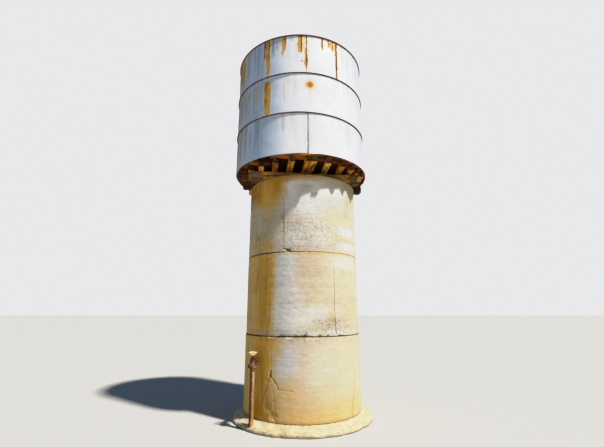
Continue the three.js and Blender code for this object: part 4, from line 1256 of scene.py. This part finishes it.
def own_turn(node_name):
    """The angle about Z, in radians, that a timber of the platform is turned by."""
    return math.radians(PLATFORM_TURN + BEAM_SKEWS.get(node_name, 0.0))


def turned_back(node_name):
    """The lowest and highest corner of a timber's CAD node in its own unturned frame."""
    turn = own_turn(node_name)
    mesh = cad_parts[node_name].data
    points = np.zeros(len(mesh.vertices) * 3)
    mesh.vertices.foreach_get("co", points)
    points = points.reshape(-1, 3)
    x = points[:, 0] * math.cos(turn) + points[:, 1] * math.sin(turn)
    y = points[:, 1] * math.cos(turn) - points[:, 0] * math.sin(turn)
    own = np.stack([x, y, points[:, 2]], axis=-1)
    return own.min(axis=0), own.max(axis=0)


def turned_out(points, turn):
    """Points of a timber's own frame turned about Z to where it stands."""
    x = points[..., 0] * math.cos(turn) - points[..., 1] * math.sin(turn)
    y = points[..., 0] * math.sin(turn) + points[..., 1] * math.cos(turn)
    return np.stack([x, y, points[..., 2]], axis=-1)


def sawn_section(width, depth, checks):
    """A rectangle with rounded corners as points about its middle, their outward normals, and their place along
    the outline. It has extra points at each drying check."""
    half = np.array([width, depth]) / 2 - TIMBER_ARRIS
    quarter = np.radians(np.arange(4)[:, None] * 90 + np.linspace(0, 90, 4)[None])
    centre = np.array([[1, 1], [-1, 1], [-1, -1], [1, -1]])[:, None] * half
    outline = (centre + TIMBER_ARRIS * np.stack([np.cos(quarter), np.sin(quarter)], axis=-1)).reshape(-1, 2)
    outline = np.concatenate([outline, outline[:1]])
    length = np.concatenate([[0], np.cumsum(np.linalg.norm(np.diff(outline, axis=0), axis=1))])
    extra = [check * length[-1] + np.array([-0.006, -0.002, 0.0, 0.002, 0.006]) for check in checks]
    place = np.unique(np.concatenate([length[:-1], np.arange(0, length[-1] - 0.004, SECTION_STEP)] + extra))
    place = place[(place >= 0) & (place < length[-1] - 1e-4)]
    points = np.stack([np.interp(place, length, outline[:, 0]), np.interp(place, length, outline[:, 1])], axis=-1)
    ahead, behind = np.roll(points, -1, axis=0), np.roll(points, 1, axis=0)
    tangent = ahead - behind
    normal = np.stack([tangent[:, 1], -tangent[:, 0]], axis=-1)
    return points, normal / np.linalg.norm(normal, axis=1, keepdims=True), place / length[-1]


def sawn_timber(low, high, along_axis, seed, round_ends=(False, False), end_wear=0.01):
    """A sawn timber in its box. Each station is the rectangle moved in along its normals by wear, which is noise
    drawn out along the grain, plus a V for each drying check. Near an end the lower arris is worn to a quarter
    circle of radius end_wear, which noise varies. A round end follows the deck's edge,
    DECK_X -/+ sqrt(DECK_RADIUS^2 - across^2)."""
    random = np.random.default_rng(seed)
    across_axis = 1 - along_axis
    width, depth = high[across_axis] - low[across_axis], high[2] - low[2]
    checks = random.uniform(0.02, 0.98, 7)
    section, normal, place = sawn_section(width, depth, checks)
    half = (high[along_axis] - low[along_axis]) / 2
    count = int(2 * half / STATION_STEP)
    near_end = np.array(END_STATIONS) / half
    share = np.unique(np.concatenate([np.linspace(-1, 1, count), near_end - 1, 1 - near_end]))[:, None]
    along = share * half
    grain_phase = random.uniform(0, 60)
    wear = 0.0012 + 0.0016 * rough_noise(place[None] * 40, along * 2.2 + grain_phase, seed, NOISE_COLUMNS, 3)
    wear = wear + 0.0035 * np.clip(rough_noise(place[None] * 5, along * 1.1 + grain_phase, seed + 9), 0, 1)
    for check, start in zip(checks, random.uniform(-1.1, 0.7, len(checks))):
        opened = eased_step(share, start, start + 0.12) * eased_step(share, start + 0.75, start + 0.5)
        wear = wear + 0.008 * opened * np.clip(1 - np.abs(place[None] - check) * 2 * (width + depth) / 0.006, 0, 1)
    end_gap = half - np.abs(along)
    uneven = 1 + 0.6 * wave_noise(place[None] * 17, share * 3, seed + 5)
    wear = wear + 0.006 * np.clip(1 - end_gap / 0.012, 0, 1) ** 2 * uneven
    across = section[None, :, 0] - normal[None, :, 0] * wear
    up = section[None, :, 1] - normal[None, :, 1] * wear
    ragged = end_wear * (1 + 0.45 * rough_noise(across * 22 + 9, np.sign(share) * 2 + 5.5, seed + 6))
    inward = np.clip(1 - end_gap / ragged, 0, 1)
    worn_floor = ragged * (1 - np.sqrt(1 - inward ** 2)) - depth / 2
    across = across + (low[across_axis] + high[across_axis]) / 2
    up = np.maximum(up, worn_floor) + (low[2] + high[2]) / 2
    first, last = low[along_axis], high[along_axis]
    reach = np.sqrt(DECK_RADIUS ** 2 - np.clip(across, -DECK_RADIUS + 0.002, DECK_RADIUS - 0.002) ** 2)
    reach = reach - 0.003 * (1 + wave_noise(across * 14, 3.0, seed + 7))
    if round_ends[0]:
        first = DECK_X - reach
    if round_ends[1]:
        last = DECK_X + reach
    along = first + (share + 1) / 2 * (last - first)
    if not any(round_ends):
        along = along + 0.004 * share ** 9 * wave_noise(place[None] * 11, share * 2, seed + 7)
    axes = [None, None, up]
    axes[along_axis], axes[across_axis] = np.broadcast_to(along, across.shape), across
    loops = np.stack(axes, axis=-1)
    if along_axis == 1:
        loops = loops[:, ::-1]
    points, faces = closed_tube(loops)
    shift = random.uniform(0, 40, 3)
    grain = points[:, [along_axis, across_axis, 2]] + shift
    return points, faces, grain.astype(np.float32), points[:, along_axis]


def make_timber(node_name, finish, along_axis, seed, sheltered, round_ends=(False, False), end_wear=0.01,
                built_up=False):
    """A timber piece: one sawn timber, or two side by side where the node is a built-up beam. Weather grows from 0
    to 1 past the sheltered half length."""
    low, high = turned_back(node_name)
    boxes = [(low, high)]
    if built_up:
        middle = (low[1] + high[1]) / 2
        near, far = high.copy(), low.copy()
        near[1], far[1] = middle - BEAM_GAP / 2, middle + BEAM_GAP / 2
        boxes = [(low, near), (far, high)]
    shapes, grains, weathers = [], [], []
    for number, (box_low, box_high) in enumerate(boxes):
        points, faces, grain, own_along = sawn_timber(box_low, box_high, along_axis, seed + 31 * number,
                                                      round_ends, end_wear)
        shapes.append((turned_out(points, own_turn(node_name)), faces))
        grains.append(grain)
        weathers.append(eased_step(np.abs(own_along), sheltered, sheltered + 0.14).astype(np.float32))
    show(f"{node_name}_timber", joined(*shapes), finish, "timber", [node_name], crease=40.0,
         grain=np.concatenate(grains), weather=np.concatenate(weathers))


def make_beam_bolts(finish):
    """Through bolts of the two built-up beams: a square washer and a hexagon nut on each outer face."""
    shapes = []
    for beam, facing in (("front_beam", -1.0), ("rear_beam", 1.0)):
        low, high = turned_back(beam)
        face = low[1] if facing < 0 else high[1]
        along, share = np.array(BEAM_BOLTS).T
        level = low[2] + (high[2] - low[2]) * share
        places = turned_out(np.stack([along, np.full(len(along), face), level], axis=-1), own_turn(beam))
        outward = turned_out(np.tile([0.0, facing, 0.0], (len(along), 1)), own_turn(beam))
        for profile, sides in BEAM_BOLT_PROFILES:
            shapes.append(heads(places, outward, profile, sides))
    show("beam_bolts", joined(*shapes), finish, "hoop_steel", crease=30.0)


# Tank

# Gap left between pieces that touch
CONTACT_GAP = 0.0003
SHEET_COLUMN_STEP = 0.9
SHEET_ROWS = 34
RIVET_PROFILE = ((0.009, -0.001), (0.0088, 0.0012), (0.0068, 0.0044), (0.003, 0.0058))
HOOP_RIVET_PROFILE = ((0.007, -0.001), (0.0068, 0.0010), (0.0052, 0.0036), (0.0022, 0.0046))


def course_box(course):
    """The lowest and the highest level of a course."""
    low, high = corners(f"{course}_sheet_1")
    return low[2], high[2]


def make_sheet(course, number, finish):
    """A rolled sheet from seam to seam: its radius is the tank's, plus slow dents that die out at the hoops, and it
    steps in by a sheet's thickness over the lap. The free edge of the next sheet stands a little off it."""
    bottom, top = course_box(course)
    seam = COURSES[course] + (number - 1) * SHEET_SPAN
    lap_start = seam + SHEET_SPAN - 0.35
    angle = with_fine_stretches(seam + 0.02, seam + SHEET_SPAN + LAP_DEGREES, SHEET_COLUMN_STEP,
                                ((seam + 0.02, seam + 1.2, 0.2), (lap_start, lap_start + 0.6, 0.1)))[None]
    height = np.linspace(bottom, top, SHEET_ROWS)[:, None]
    share = (height - bottom) / (top - bottom)
    held = np.clip(4 * share * (1 - share), 0, 1) ** 0.7
    around = angle / 360
    seed = 200 + 10 * list(COURSES).index(course)
    dents = 0.0042 * rough_noise(around * 17, height * 1.9, seed, 17, 3) * held
    dents = dents + 0.0010 * rough_noise(around * 60, height * 6, seed + 5, 60, 2) * held
    step_in = (SHEET_THICKNESS + 0.0004) * eased_step(angle, lap_start, lap_start + 0.3)
    sprung = 0.0014 * (0.5 + 0.5 * wave_noise(height * 9, 0.5, seed + number)) * np.clip(1 - (angle - seam) / 0.6, 0, 1)
    radius = TANK_RADIUS + dents - step_in + sprung
    outer = on_cylinder(angle, radius, height, TANK_X)
    inner = on_cylinder(angle, radius - SHEET_THICKNESS, height, TANK_X)
    show(f"{course}_sheet_{number}_plate", slab(outer, inner), finish, "tank_steel", [f"{course}_sheet_{number}"])


def make_rivets(course, finish):
    """The rivets of a course: one row up each lap, one round the foot, one round the head."""
    bottom, top = course_box(course)
    heights = np.arange(bottom + 0.05, top - 0.04, 0.055)
    angles, levels = [], []
    for turn in (0.0, SHEET_SPAN, 2 * SHEET_SPAN):
        angles.append(np.full(len(heights), COURSES[course] + turn + 0.95))
        levels.append(heights)
    for level, pitch, first in ((bottom + 0.032, 3.0, 1.1), (top - 0.034, 3.0, 2.3)):
        row = np.arange(first, 360.0 + first, pitch)
        angles.append(row)
        levels.append(np.full(len(row), level))
    angles, levels = np.concatenate(angles), np.concatenate(levels)
    places = on_cylinder(angles, TANK_RADIUS + 0.001, levels, TANK_X)
    outward = on_cylinder(angles, 1.0, 0.0)
    show(f"{course}_rivets", heads(places, outward, RIVET_PROFILE, 8), finish, "tank_steel", crease=50.0)


def make_hoop(hoop, finish):
    """An angle bar bent round the tank: an L with eased corners carried round, with a slow wobble of its height
    and radius as hand-bent bars have."""
    top = corners(hoop)[1][2]
    inside = TANK_RADIUS + CONTACT_GAP
    ell = [(inside, top - HOOP_LEG), (inside + HOOP_THICKNESS, top - HOOP_LEG),
           (inside + HOOP_THICKNESS, top - HOOP_THICKNESS), (inside + HOOP_LEG, top - HOOP_THICKNESS),
           (inside + HOOP_LEG, top), (inside, top)]
    middle_bottom = (inside + HOOP_THICKNESS / 2, top - HOOP_LEG)
    profile = eased([middle_bottom] + ell[1:] + ell[:1] + [middle_bottom], 0.0016, 3)[:-1]
    angle = np.linspace(-180, 180, 360, endpoint=False)[None]
    around = angle / 360
    seed = 300 + HOOPS.index(hoop)
    out = (profile[:, :1] - inside) / HOOP_LEG
    radius = profile[:, :1] + 0.0012 * out * wave_noise(around * 23, 0.5, seed, 23)
    height = profile[:, 1:] - 0.0012 * out * (1 + wave_noise(around * 31, 0.5, seed + 1, 31))
    ring = closed_ring(on_cylinder(angle, radius, height, TANK_X))
    bolt_angle = np.arange(2.0, 362.0, 6.0)
    bolt_level = top - (HOOP_LEG + HOOP_THICKNESS) / 2
    bolts = heads(on_cylinder(bolt_angle, inside + HOOP_THICKNESS - 0.0005, bolt_level, TANK_X),
                  on_cylinder(bolt_angle, 1.0, 0.0), HOOP_RIVET_PROFILE, 8)
    show(f"{hoop}_bar", joined(ring, bolts), finish, "hoop_steel", [hoop], crease=40.0)


ROOF_GORES = 12
# A rib stands this many degrees past its gore seam
RIB_ANGLE = 1.2


def make_roof(finish):
    """The roof: a low cone of sheet, z = eave + rise * (1 - r / eave radius) less a slight sag, with a folded rib on
    each gore seam, 9 mm * exp(-(arc / 12 mm)^2) high, a row of rivets along the eave and a cap over the middle."""
    low, high = corners("tank_roof")
    eave_radius = (high[0] - low[0]) / 2
    eave, peak = low[2], high[2]
    rise = peak - eave - 0.004
    radius = np.concatenate([[0.03, 0.08], np.linspace(0.16, eave_radius - 0.02, 18),
                             [eave_radius - 0.004, eave_radius]])
    gore = 360.0 / ROOF_GORES
    seams = np.arange(ROOF_GORES) * gore
    angle = with_fine_stretches(0.0, 360.0, 2.5, [(seam + 0.1, seam + 2.3, 0.35) for seam in seams], closed=True)[None]
    away = (angle - RIB_ANGLE + gore / 2) % gore - gore / 2
    arc = np.radians(np.abs(away)) * radius[:, None]
    rib = 0.009 * np.exp(-(arc / 0.012) ** 2) * eased_step(radius[:, None], 0.14, 0.22)
    rib = rib * eased_step(radius[:, None], eave_radius, eave_radius - 0.03)
    sag = 0.010 * np.sin(np.radians(away * 6)) ** 2 * np.sin(math.pi * radius / eave_radius)[:, None]
    cone = eave + 0.004 + rise * (1 - radius / eave_radius)[:, None]
    outside = on_cylinder(angle, radius[:, None], cone + rib - sag, TANK_X)
    inside = on_cylinder(angle, radius[:, None] - 0.0005, cone - 0.0035 - sag, TANK_X)
    shell = closed_tube(np.concatenate([inside, outside[::-1]]))
    cap = turned(eased([(0.004, peak - 0.05), (0.17, peak - 0.052), (0.172, peak - 0.034), (0.10, peak - 0.012),
                        (0.02, peak + 0.004), (0.002, peak + 0.004)], 0.012), 48, (TANK_X, 0.0, 0.0))
    rivet_angle = np.arange(3.0, 363.0, 6.0)
    edge_rivets = heads(on_cylinder(rivet_angle, eave_radius - 0.022, eave + 0.0075, TANK_X),
                        np.tile([0.0, 0.0, 1.0], (len(rivet_angle), 1)), RIVET_PROFILE, 8)
    show("tank_roof_sheet", joined(shell, cap, edge_rivets), finish, "tank_steel", ["tank_roof"], crease=30.0)


# Standpipe and valve

PIPE_SIDES = 40
# The handwheel: radius of its rim's bar, and its spokes
WHEEL_RIM, WHEEL_SPOKES = 0.0112, 5
# Profiles of a flange bolt's parts: radius, height
FLANGE_HEAD_PROFILE = ((0.0135, -0.001), (0.0135, 0.008), (0.0115, 0.010))
FLANGE_NUT_PROFILE = ((0.0135, -0.001), (0.0135, 0.010), (0.0115, 0.012))
FLANGE_STUB_PROFILE = ((0.0075, 0.010), (0.0075, 0.020), (0.006, 0.022))


def flange_bolts(centre, circle, count, outward, thickness, lying=False):
    """Hexagon heads on one side of a flange pair and nuts with stub ends on the other."""
    angle = np.arange(count) * 360.0 / count + 180.0 / count
    ring = on_cylinder(angle, circle, 0.0)
    if lying:
        ring = np.stack([ring[:, 0], ring[:, 2], -ring[:, 1]], axis=-1)
    axis = np.array(outward, float)
    away = np.tile(axis, (count, 1))
    near, far = ring + centre + axis * thickness, ring + centre - axis * thickness
    return joined(heads(near, away, FLANGE_HEAD_PROFILE, 6), heads(far, -away, FLANGE_NUT_PROFILE, 6),
                  heads(far, -away, FLANGE_STUB_PROFILE, 10))


def make_riser(finish):
    """The riser: a pipe with a slight bow and a screwed flange with its hub, from the footing up."""
    foot = 0.045
    profile = eased([(0.002, foot), (RISER_RADIUS, foot), (RISER_RADIUS, RISER_TOP - 0.050),
                     (RISER_RADIUS + 0.010, RISER_TOP - 0.045), (RISER_RADIUS + 0.013, RISER_TOP - FLANGE_THICKNESS),
                     (FLANGE_RADIUS - 0.002, RISER_TOP - FLANGE_THICKNESS), (FLANGE_RADIUS, RISER_TOP - 0.009),
                     (FLANGE_RADIUS, RISER_TOP), (0.002, RISER_TOP)], 0.005)
    length = np.concatenate([[0], np.cumsum(np.linalg.norm(np.diff(profile, axis=0), axis=1))])
    place = np.unique(np.concatenate([length, np.arange(0, length[-1], 0.03)]))
    radius, height = np.interp(place, length, profile[:, 0]), np.interp(place, length, profile[:, 1])
    angle = np.linspace(0, 360, PIPE_SIDES, endpoint=False)[None]
    scale = 0.0009 * rough_noise(angle / 360 * 14, height[:, None] * 18, 401, 14, 3) * (radius[:, None] < 0.05)
    loops = on_cylinder(angle, radius[:, None] + scale, height[:, None])
    points, faces = closed_tube(loops + np.array([PIPE_X, PIPE_Y, 0.0]))
    show("riser_pipe_tube", (points, faces), finish, "pipe_steel", ["riser_pipe"], crease=40.0)


def make_valve(finish):
    """The valve: a slim cast body turned about Z with an outlet about Y, a hexagon bonnet, a gland with its nut, a
    drain plug at the front, and bolted flanges."""
    centre = (PIPE_X, PIPE_Y, 0.0)
    base = RISER_TOP + CONTACT_GAP
    neck_foot = base + FLANGE_THICKNESS
    body = turned(eased([
        (0.002, base), (FLANGE_RADIUS, base), (FLANGE_RADIUS, neck_foot), (0.050, neck_foot),
        (0.042, neck_foot + 0.010), (0.0405, 1.146), (0.0465, OUTLET_HEIGHT - 0.022), (0.0470, OUTLET_HEIGHT),
        (0.0465, OUTLET_HEIGHT + 0.022), (0.0400, 1.214), (0.0395, BONNET_BASE + 0.002),
        (0.0355, BONNET_BASE + 0.002), (0.0355, GLAND_BASE - 0.004), (0.0335, GLAND_BASE), (0.0205, GLAND_BASE),
        (0.0205, GLAND_TOP), (0.0115, GLAND_TOP)], 0.0035, 3),
        PIPE_SIDES, centre)
    upward = np.array([[0.0, 0.0, 1.0]])
    bonnet = heads(np.array([[PIPE_X, PIPE_Y, BONNET_BASE]]), upward,
                   [(0.041, 0.0), (0.044, 0.003), (0.044, 0.022), (0.041, BONNET_TOP - BONNET_BASE)], 6)
    gland_nut = heads(np.array([[PIPE_X, PIPE_Y, GLAND_BASE]]), upward,
                      [(0.0235, 0.0), (0.0240, 0.002), (0.0240, 0.011), (0.022, 0.013)], 6)
    outlet = turned(eased([
        (0.002, 0.0), (0.038, 0.0), (0.038, 0.088), (0.044, OUTLET_REACH - FLANGE_THICKNESS),
        (SMALL_FLANGE_RADIUS, OUTLET_REACH - FLANGE_THICKNESS), (SMALL_FLANGE_RADIUS, OUTLET_REACH),
        (0.002, OUTLET_REACH)], 0.003, 3), PIPE_SIDES, (PIPE_X, PIPE_Y, OUTLET_HEIGHT), lying=True)
    plug_angle = np.array([16.0])
    plug = heads(on_cylinder(plug_angle, 0.0450, OUTLET_HEIGHT) + np.array(centre), on_cylinder(plug_angle, 1.0, 0.0),
                 [(0.0130, -0.002), (0.0130, 0.004), (0.0085, 0.004), (0.0080, 0.012)], 6)
    foot_bolts = flange_bolts((PIPE_X, PIPE_Y, base), 0.0765, 8, (0, 0, 1), FLANGE_THICKNESS)
    outlet_bolts = flange_bolts((PIPE_X, PIPE_Y + OUTLET_REACH, OUTLET_HEIGHT), 0.0560, 4, (0, 1, 0),
                                FLANGE_THICKNESS, lying=True)
    show("valve_body_casting", joined(body, bonnet, gland_nut, outlet, plug, foot_bolts, outlet_bolts), finish,
         "valve_iron", ["valve_body"], crease=32.0)


def make_branch(finish):
    """The branch: a flange and a pipe about Y that runs into the shaft's wall."""
    start = PIPE_Y + OUTLET_REACH + CONTACT_GAP
    wall = corners("lower_lift")[1][0]
    end = -math.sqrt(wall ** 2 - (abs(PIPE_X) - BRANCH_RADIUS) ** 2) + 0.03
    pipe = turned(eased([
        (0.002, start), (SMALL_FLANGE_RADIUS, start), (SMALL_FLANGE_RADIUS, start + FLANGE_THICKNESS),
        (BRANCH_RADIUS + 0.007, start + FLANGE_THICKNESS), (BRANCH_RADIUS + 0.005, start + 0.034),
        (BRANCH_RADIUS, start + 0.036), (BRANCH_RADIUS, end), (0.002, end)], 0.003, 3),
        PIPE_SIDES, (PIPE_X, 0.0, OUTLET_HEIGHT), lying=True)
    show("branch_pipe_tube", pipe, finish, "pipe_steel", ["branch_pipe"], crease=40.0)


def make_handwheel(finish):
    """The handwheel: a torus rim, a dish of five broad spokes that rise from the hub to the rim, a hub, a nut, and a
    stem whose thread is a row of ridges."""
    centre = np.array([PIPE_X, PIPE_Y, 0.0])
    around = np.linspace(0, 2 * math.pi, 72, endpoint=False)[None]
    section = np.linspace(0, 2 * math.pi, 14, endpoint=False)[:, None]
    rim_radius = WHEEL_RADIUS + WHEEL_RIM * np.cos(section) * (1 + 0.03 * np.cos(around * 10))
    rim = closed_ring(on_cylinder(np.degrees(around), rim_radius, WHEEL_HEIGHT + WHEEL_RIM * np.sin(section)) + centre)
    share = np.linspace(0, 1, 16)[:, None]
    spoke_angle = np.linspace(0, 2 * math.pi, 14, endpoint=False)[None]
    hub_middle = (HUB_BOTTOM + HUB_TOP) / 2
    spokes = []
    for number in range(WHEEL_SPOKES):
        turn = math.radians(90 + 360 / WHEEL_SPOKES * number)
        reach = 0.010 + share * (WHEEL_RADIUS - 0.010)
        side = (0.0150 - 0.0030 * np.sin(math.pi * share)) * np.cos(spoke_angle)
        up = 0.0068 * np.sin(spoke_angle)
        x = reach * math.cos(turn) - side * math.sin(turn)
        y = reach * math.sin(turn) + side * math.cos(turn)
        z = hub_middle + (WHEEL_HEIGHT - hub_middle) * share ** 2.2 + up
        spokes.append(closed_tube(np.stack([x, y, np.broadcast_to(z, x.shape)], axis=-1) + centre))
    hub = turned(eased([(0.004, HUB_BOTTOM), (0.0200, HUB_BOTTOM), (0.0250, hub_middle), (0.0190, HUB_TOP),
                        (0.004, HUB_TOP)], 0.002, 3), 28, centre)
    ridge = np.arange(STEM_BOTTOM, STEM_TOP - 0.002, 0.0025)
    thread = np.stack([0.0086 + 0.0004 * (-1.0) ** np.arange(len(ridge)), ridge], axis=-1)
    stem_foot, stem_head = [(0.002, STEM_BOTTOM - 0.0002)], [(0.006, STEM_TOP), (0.002, STEM_TOP)]
    stem = turned(np.concatenate([stem_foot, thread, stem_head]), 20, centre)
    nut = heads(np.array([[PIPE_X, PIPE_Y, HUB_TOP]]), np.array([[0.0, 0.0, 1.0]]),
                [(0.0165, 0.0), (0.0165, 0.010), (0.0145, 0.012)], 6)
    show("handwheel_casting", joined(rim, hub, stem, nut, *spokes), finish, "wheel_paint", ["handwheel"],
         body="valve_wheel", crease=40.0)


# Stage

def make_stage():
    """A pale floor and sky, a far soft lamp, and the photo's camera."""
    half = FLOOR_SIZE / 2
    mesh = bpy.data.meshes.new("floor")
    mesh.from_pydata([(-half, -half, 0), (half, -half, 0), (half, half, 0), (-half, half, 0)], [], [(0, 1, 2, 3)])
    floor = bpy.data.objects.new("floor", mesh)
    bpy.context.collection.objects.link(floor)
    finish, _, shader, _ = new_finish("floor_plain", Specular_IOR_Level=0.1)
    shader.inputs["Base Color"].default_value = (*FLOOR_COLOUR, 1.0)
    shader.inputs["Roughness"].default_value = 0.95
    mesh.materials.append(finish)

    lamp = bpy.data.lights.new("key", "SUN")
    lamp.angle = math.radians(KEY_SOFTNESS)
    lamp.energy = KEY_STRENGTH
    lamp.color = KEY_COLOUR
    key = bpy.data.objects.new("key", lamp)
    key.rotation_euler = (math.radians(90.0 - KEY_RISE), 0.0, math.radians(KEY_ANGLE))
    bpy.context.collection.objects.link(key)

    world = bpy.data.worlds.new("sky")
    world.use_nodes = True
    bpy.context.scene.world = world
    tree = world.node_tree
    tree.nodes.clear()
    sky = node(tree, "ShaderNodeBackground", {"Color": (*SKY_COLOUR, 1.0), "Strength": SKY_STRENGTH})
    backdrop = node(tree, "ShaderNodeBackground", {"Color": (*BACKDROP_COLOUR, 1.0), "Strength": 1.0})
    seen = node(tree, "ShaderNodeLightPath").outputs["Is Camera Ray"]
    both = node(tree, "ShaderNodeMixShader", {0: seen, 1: sky.outputs[0], 2: backdrop.outputs[0]})
    node(tree, "ShaderNodeOutputWorld", {"Surface": both.outputs[0]})

    camera_data = bpy.data.cameras.new("camera")
    camera_data.sensor_fit = "HORIZONTAL"
    camera_data.sensor_width = CAMERA_SENSOR
    camera_data.lens = CAMERA_LENS
    camera_data.clip_end = 1000.0
    camera = bpy.data.objects.new("camera", camera_data)
    camera.location = CAMERA_PLACE
    camera.rotation_euler = (math.radians(90 + CAMERA_PITCH), 0.0, 0.0)
    bpy.context.collection.objects.link(camera)
    bpy.context.scene.camera = camera
    view = bpy.context.scene.view_settings
    view.view_transform = "Standard"
    view.use_curve_mapping = True
    view.curve_mapping.white_level = (WHITE_LEVEL, WHITE_LEVEL, WHITE_LEVEL)
    curve = view.curve_mapping.curves[3]
    for light, shown in TONE_POINTS:
        curve.points.new(light / WHITE_LEVEL, shown)
    view.curve_mapping.update()


make_stage()
make_footing()
for lift_name in LIFTS:
    make_lift(lift_name)

# The platform: half lengths that stay out of the weather, then the length that weathers at a joist's end
SIDE_BEAM_SHELTER, MIDDLE_BEAM_SHELTER, PLANK_SHELTER = 0.88, 1.16, 1.36
JOIST_WEATHERED = 0.10
FIRST_SEEDS = {"joist": 520, "left": 560, "right": 570, "rear": 580}
# The middle and rear beams and the planks take darkened timber: painted shade
beam_timber, shaded_beam_timber, joist_timber = [old_timber(kind) for kind in ("beam", "rear_beam", "joist")]
shaded_plank_timber = old_timber("plank", shade_under_tank=0.8)
make_timber("front_beam", beam_timber, 0, 501, SIDE_BEAM_SHELTER, end_wear=0.045, built_up=True)
make_timber("middle_beam", shaded_beam_timber, 0, 503, MIDDLE_BEAM_SHELTER, end_wear=0.03)
make_timber("rear_beam", shaded_beam_timber, 0, 505, SIDE_BEAM_SHELTER, end_wear=0.03, built_up=True)
for index, joist_name in enumerate(JOISTS):
    sheltered = turned_back(joist_name)[1][1] - JOIST_WEATHERED
    make_timber(joist_name, joist_timber, 1, FIRST_SEEDS["joist"] + index, sheltered, end_wear=0.028)
for part, (count, round_ends) in PLANKS.items():
    for number in range(1, count + 1):
        seed = FIRST_SEEDS[part] + number
        make_timber(f"deck_plank_{part}_{number}", shaded_plank_timber, 0, seed, PLANK_SHELTER, round_ends)

hoop_finish, plate_finish = hoop_iron(), bare_iron()
make_beam_bolts(plate_finish)
for course_name, course_seam in COURSES.items():
    paint = tank_paint(course_name, course_box(course_name)[1], course_seam)
    for sheet_number in (1, 2, 3):
        make_sheet(course_name, sheet_number, paint)
    make_rivets(course_name, paint)
make_roof(roof_paint())
for hoop_name in HOOPS:
    make_hoop(hoop_name, hoop_finish)
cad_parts["tank_floor"].data.materials.clear()
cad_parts["tank_floor"].data.materials.append(plate_finish)

pipe_finish = pipe_iron()
make_riser(pipe_finish)
make_valve(valve_iron())
make_branch(pipe_finish)
make_handwheel(wheel_paint())
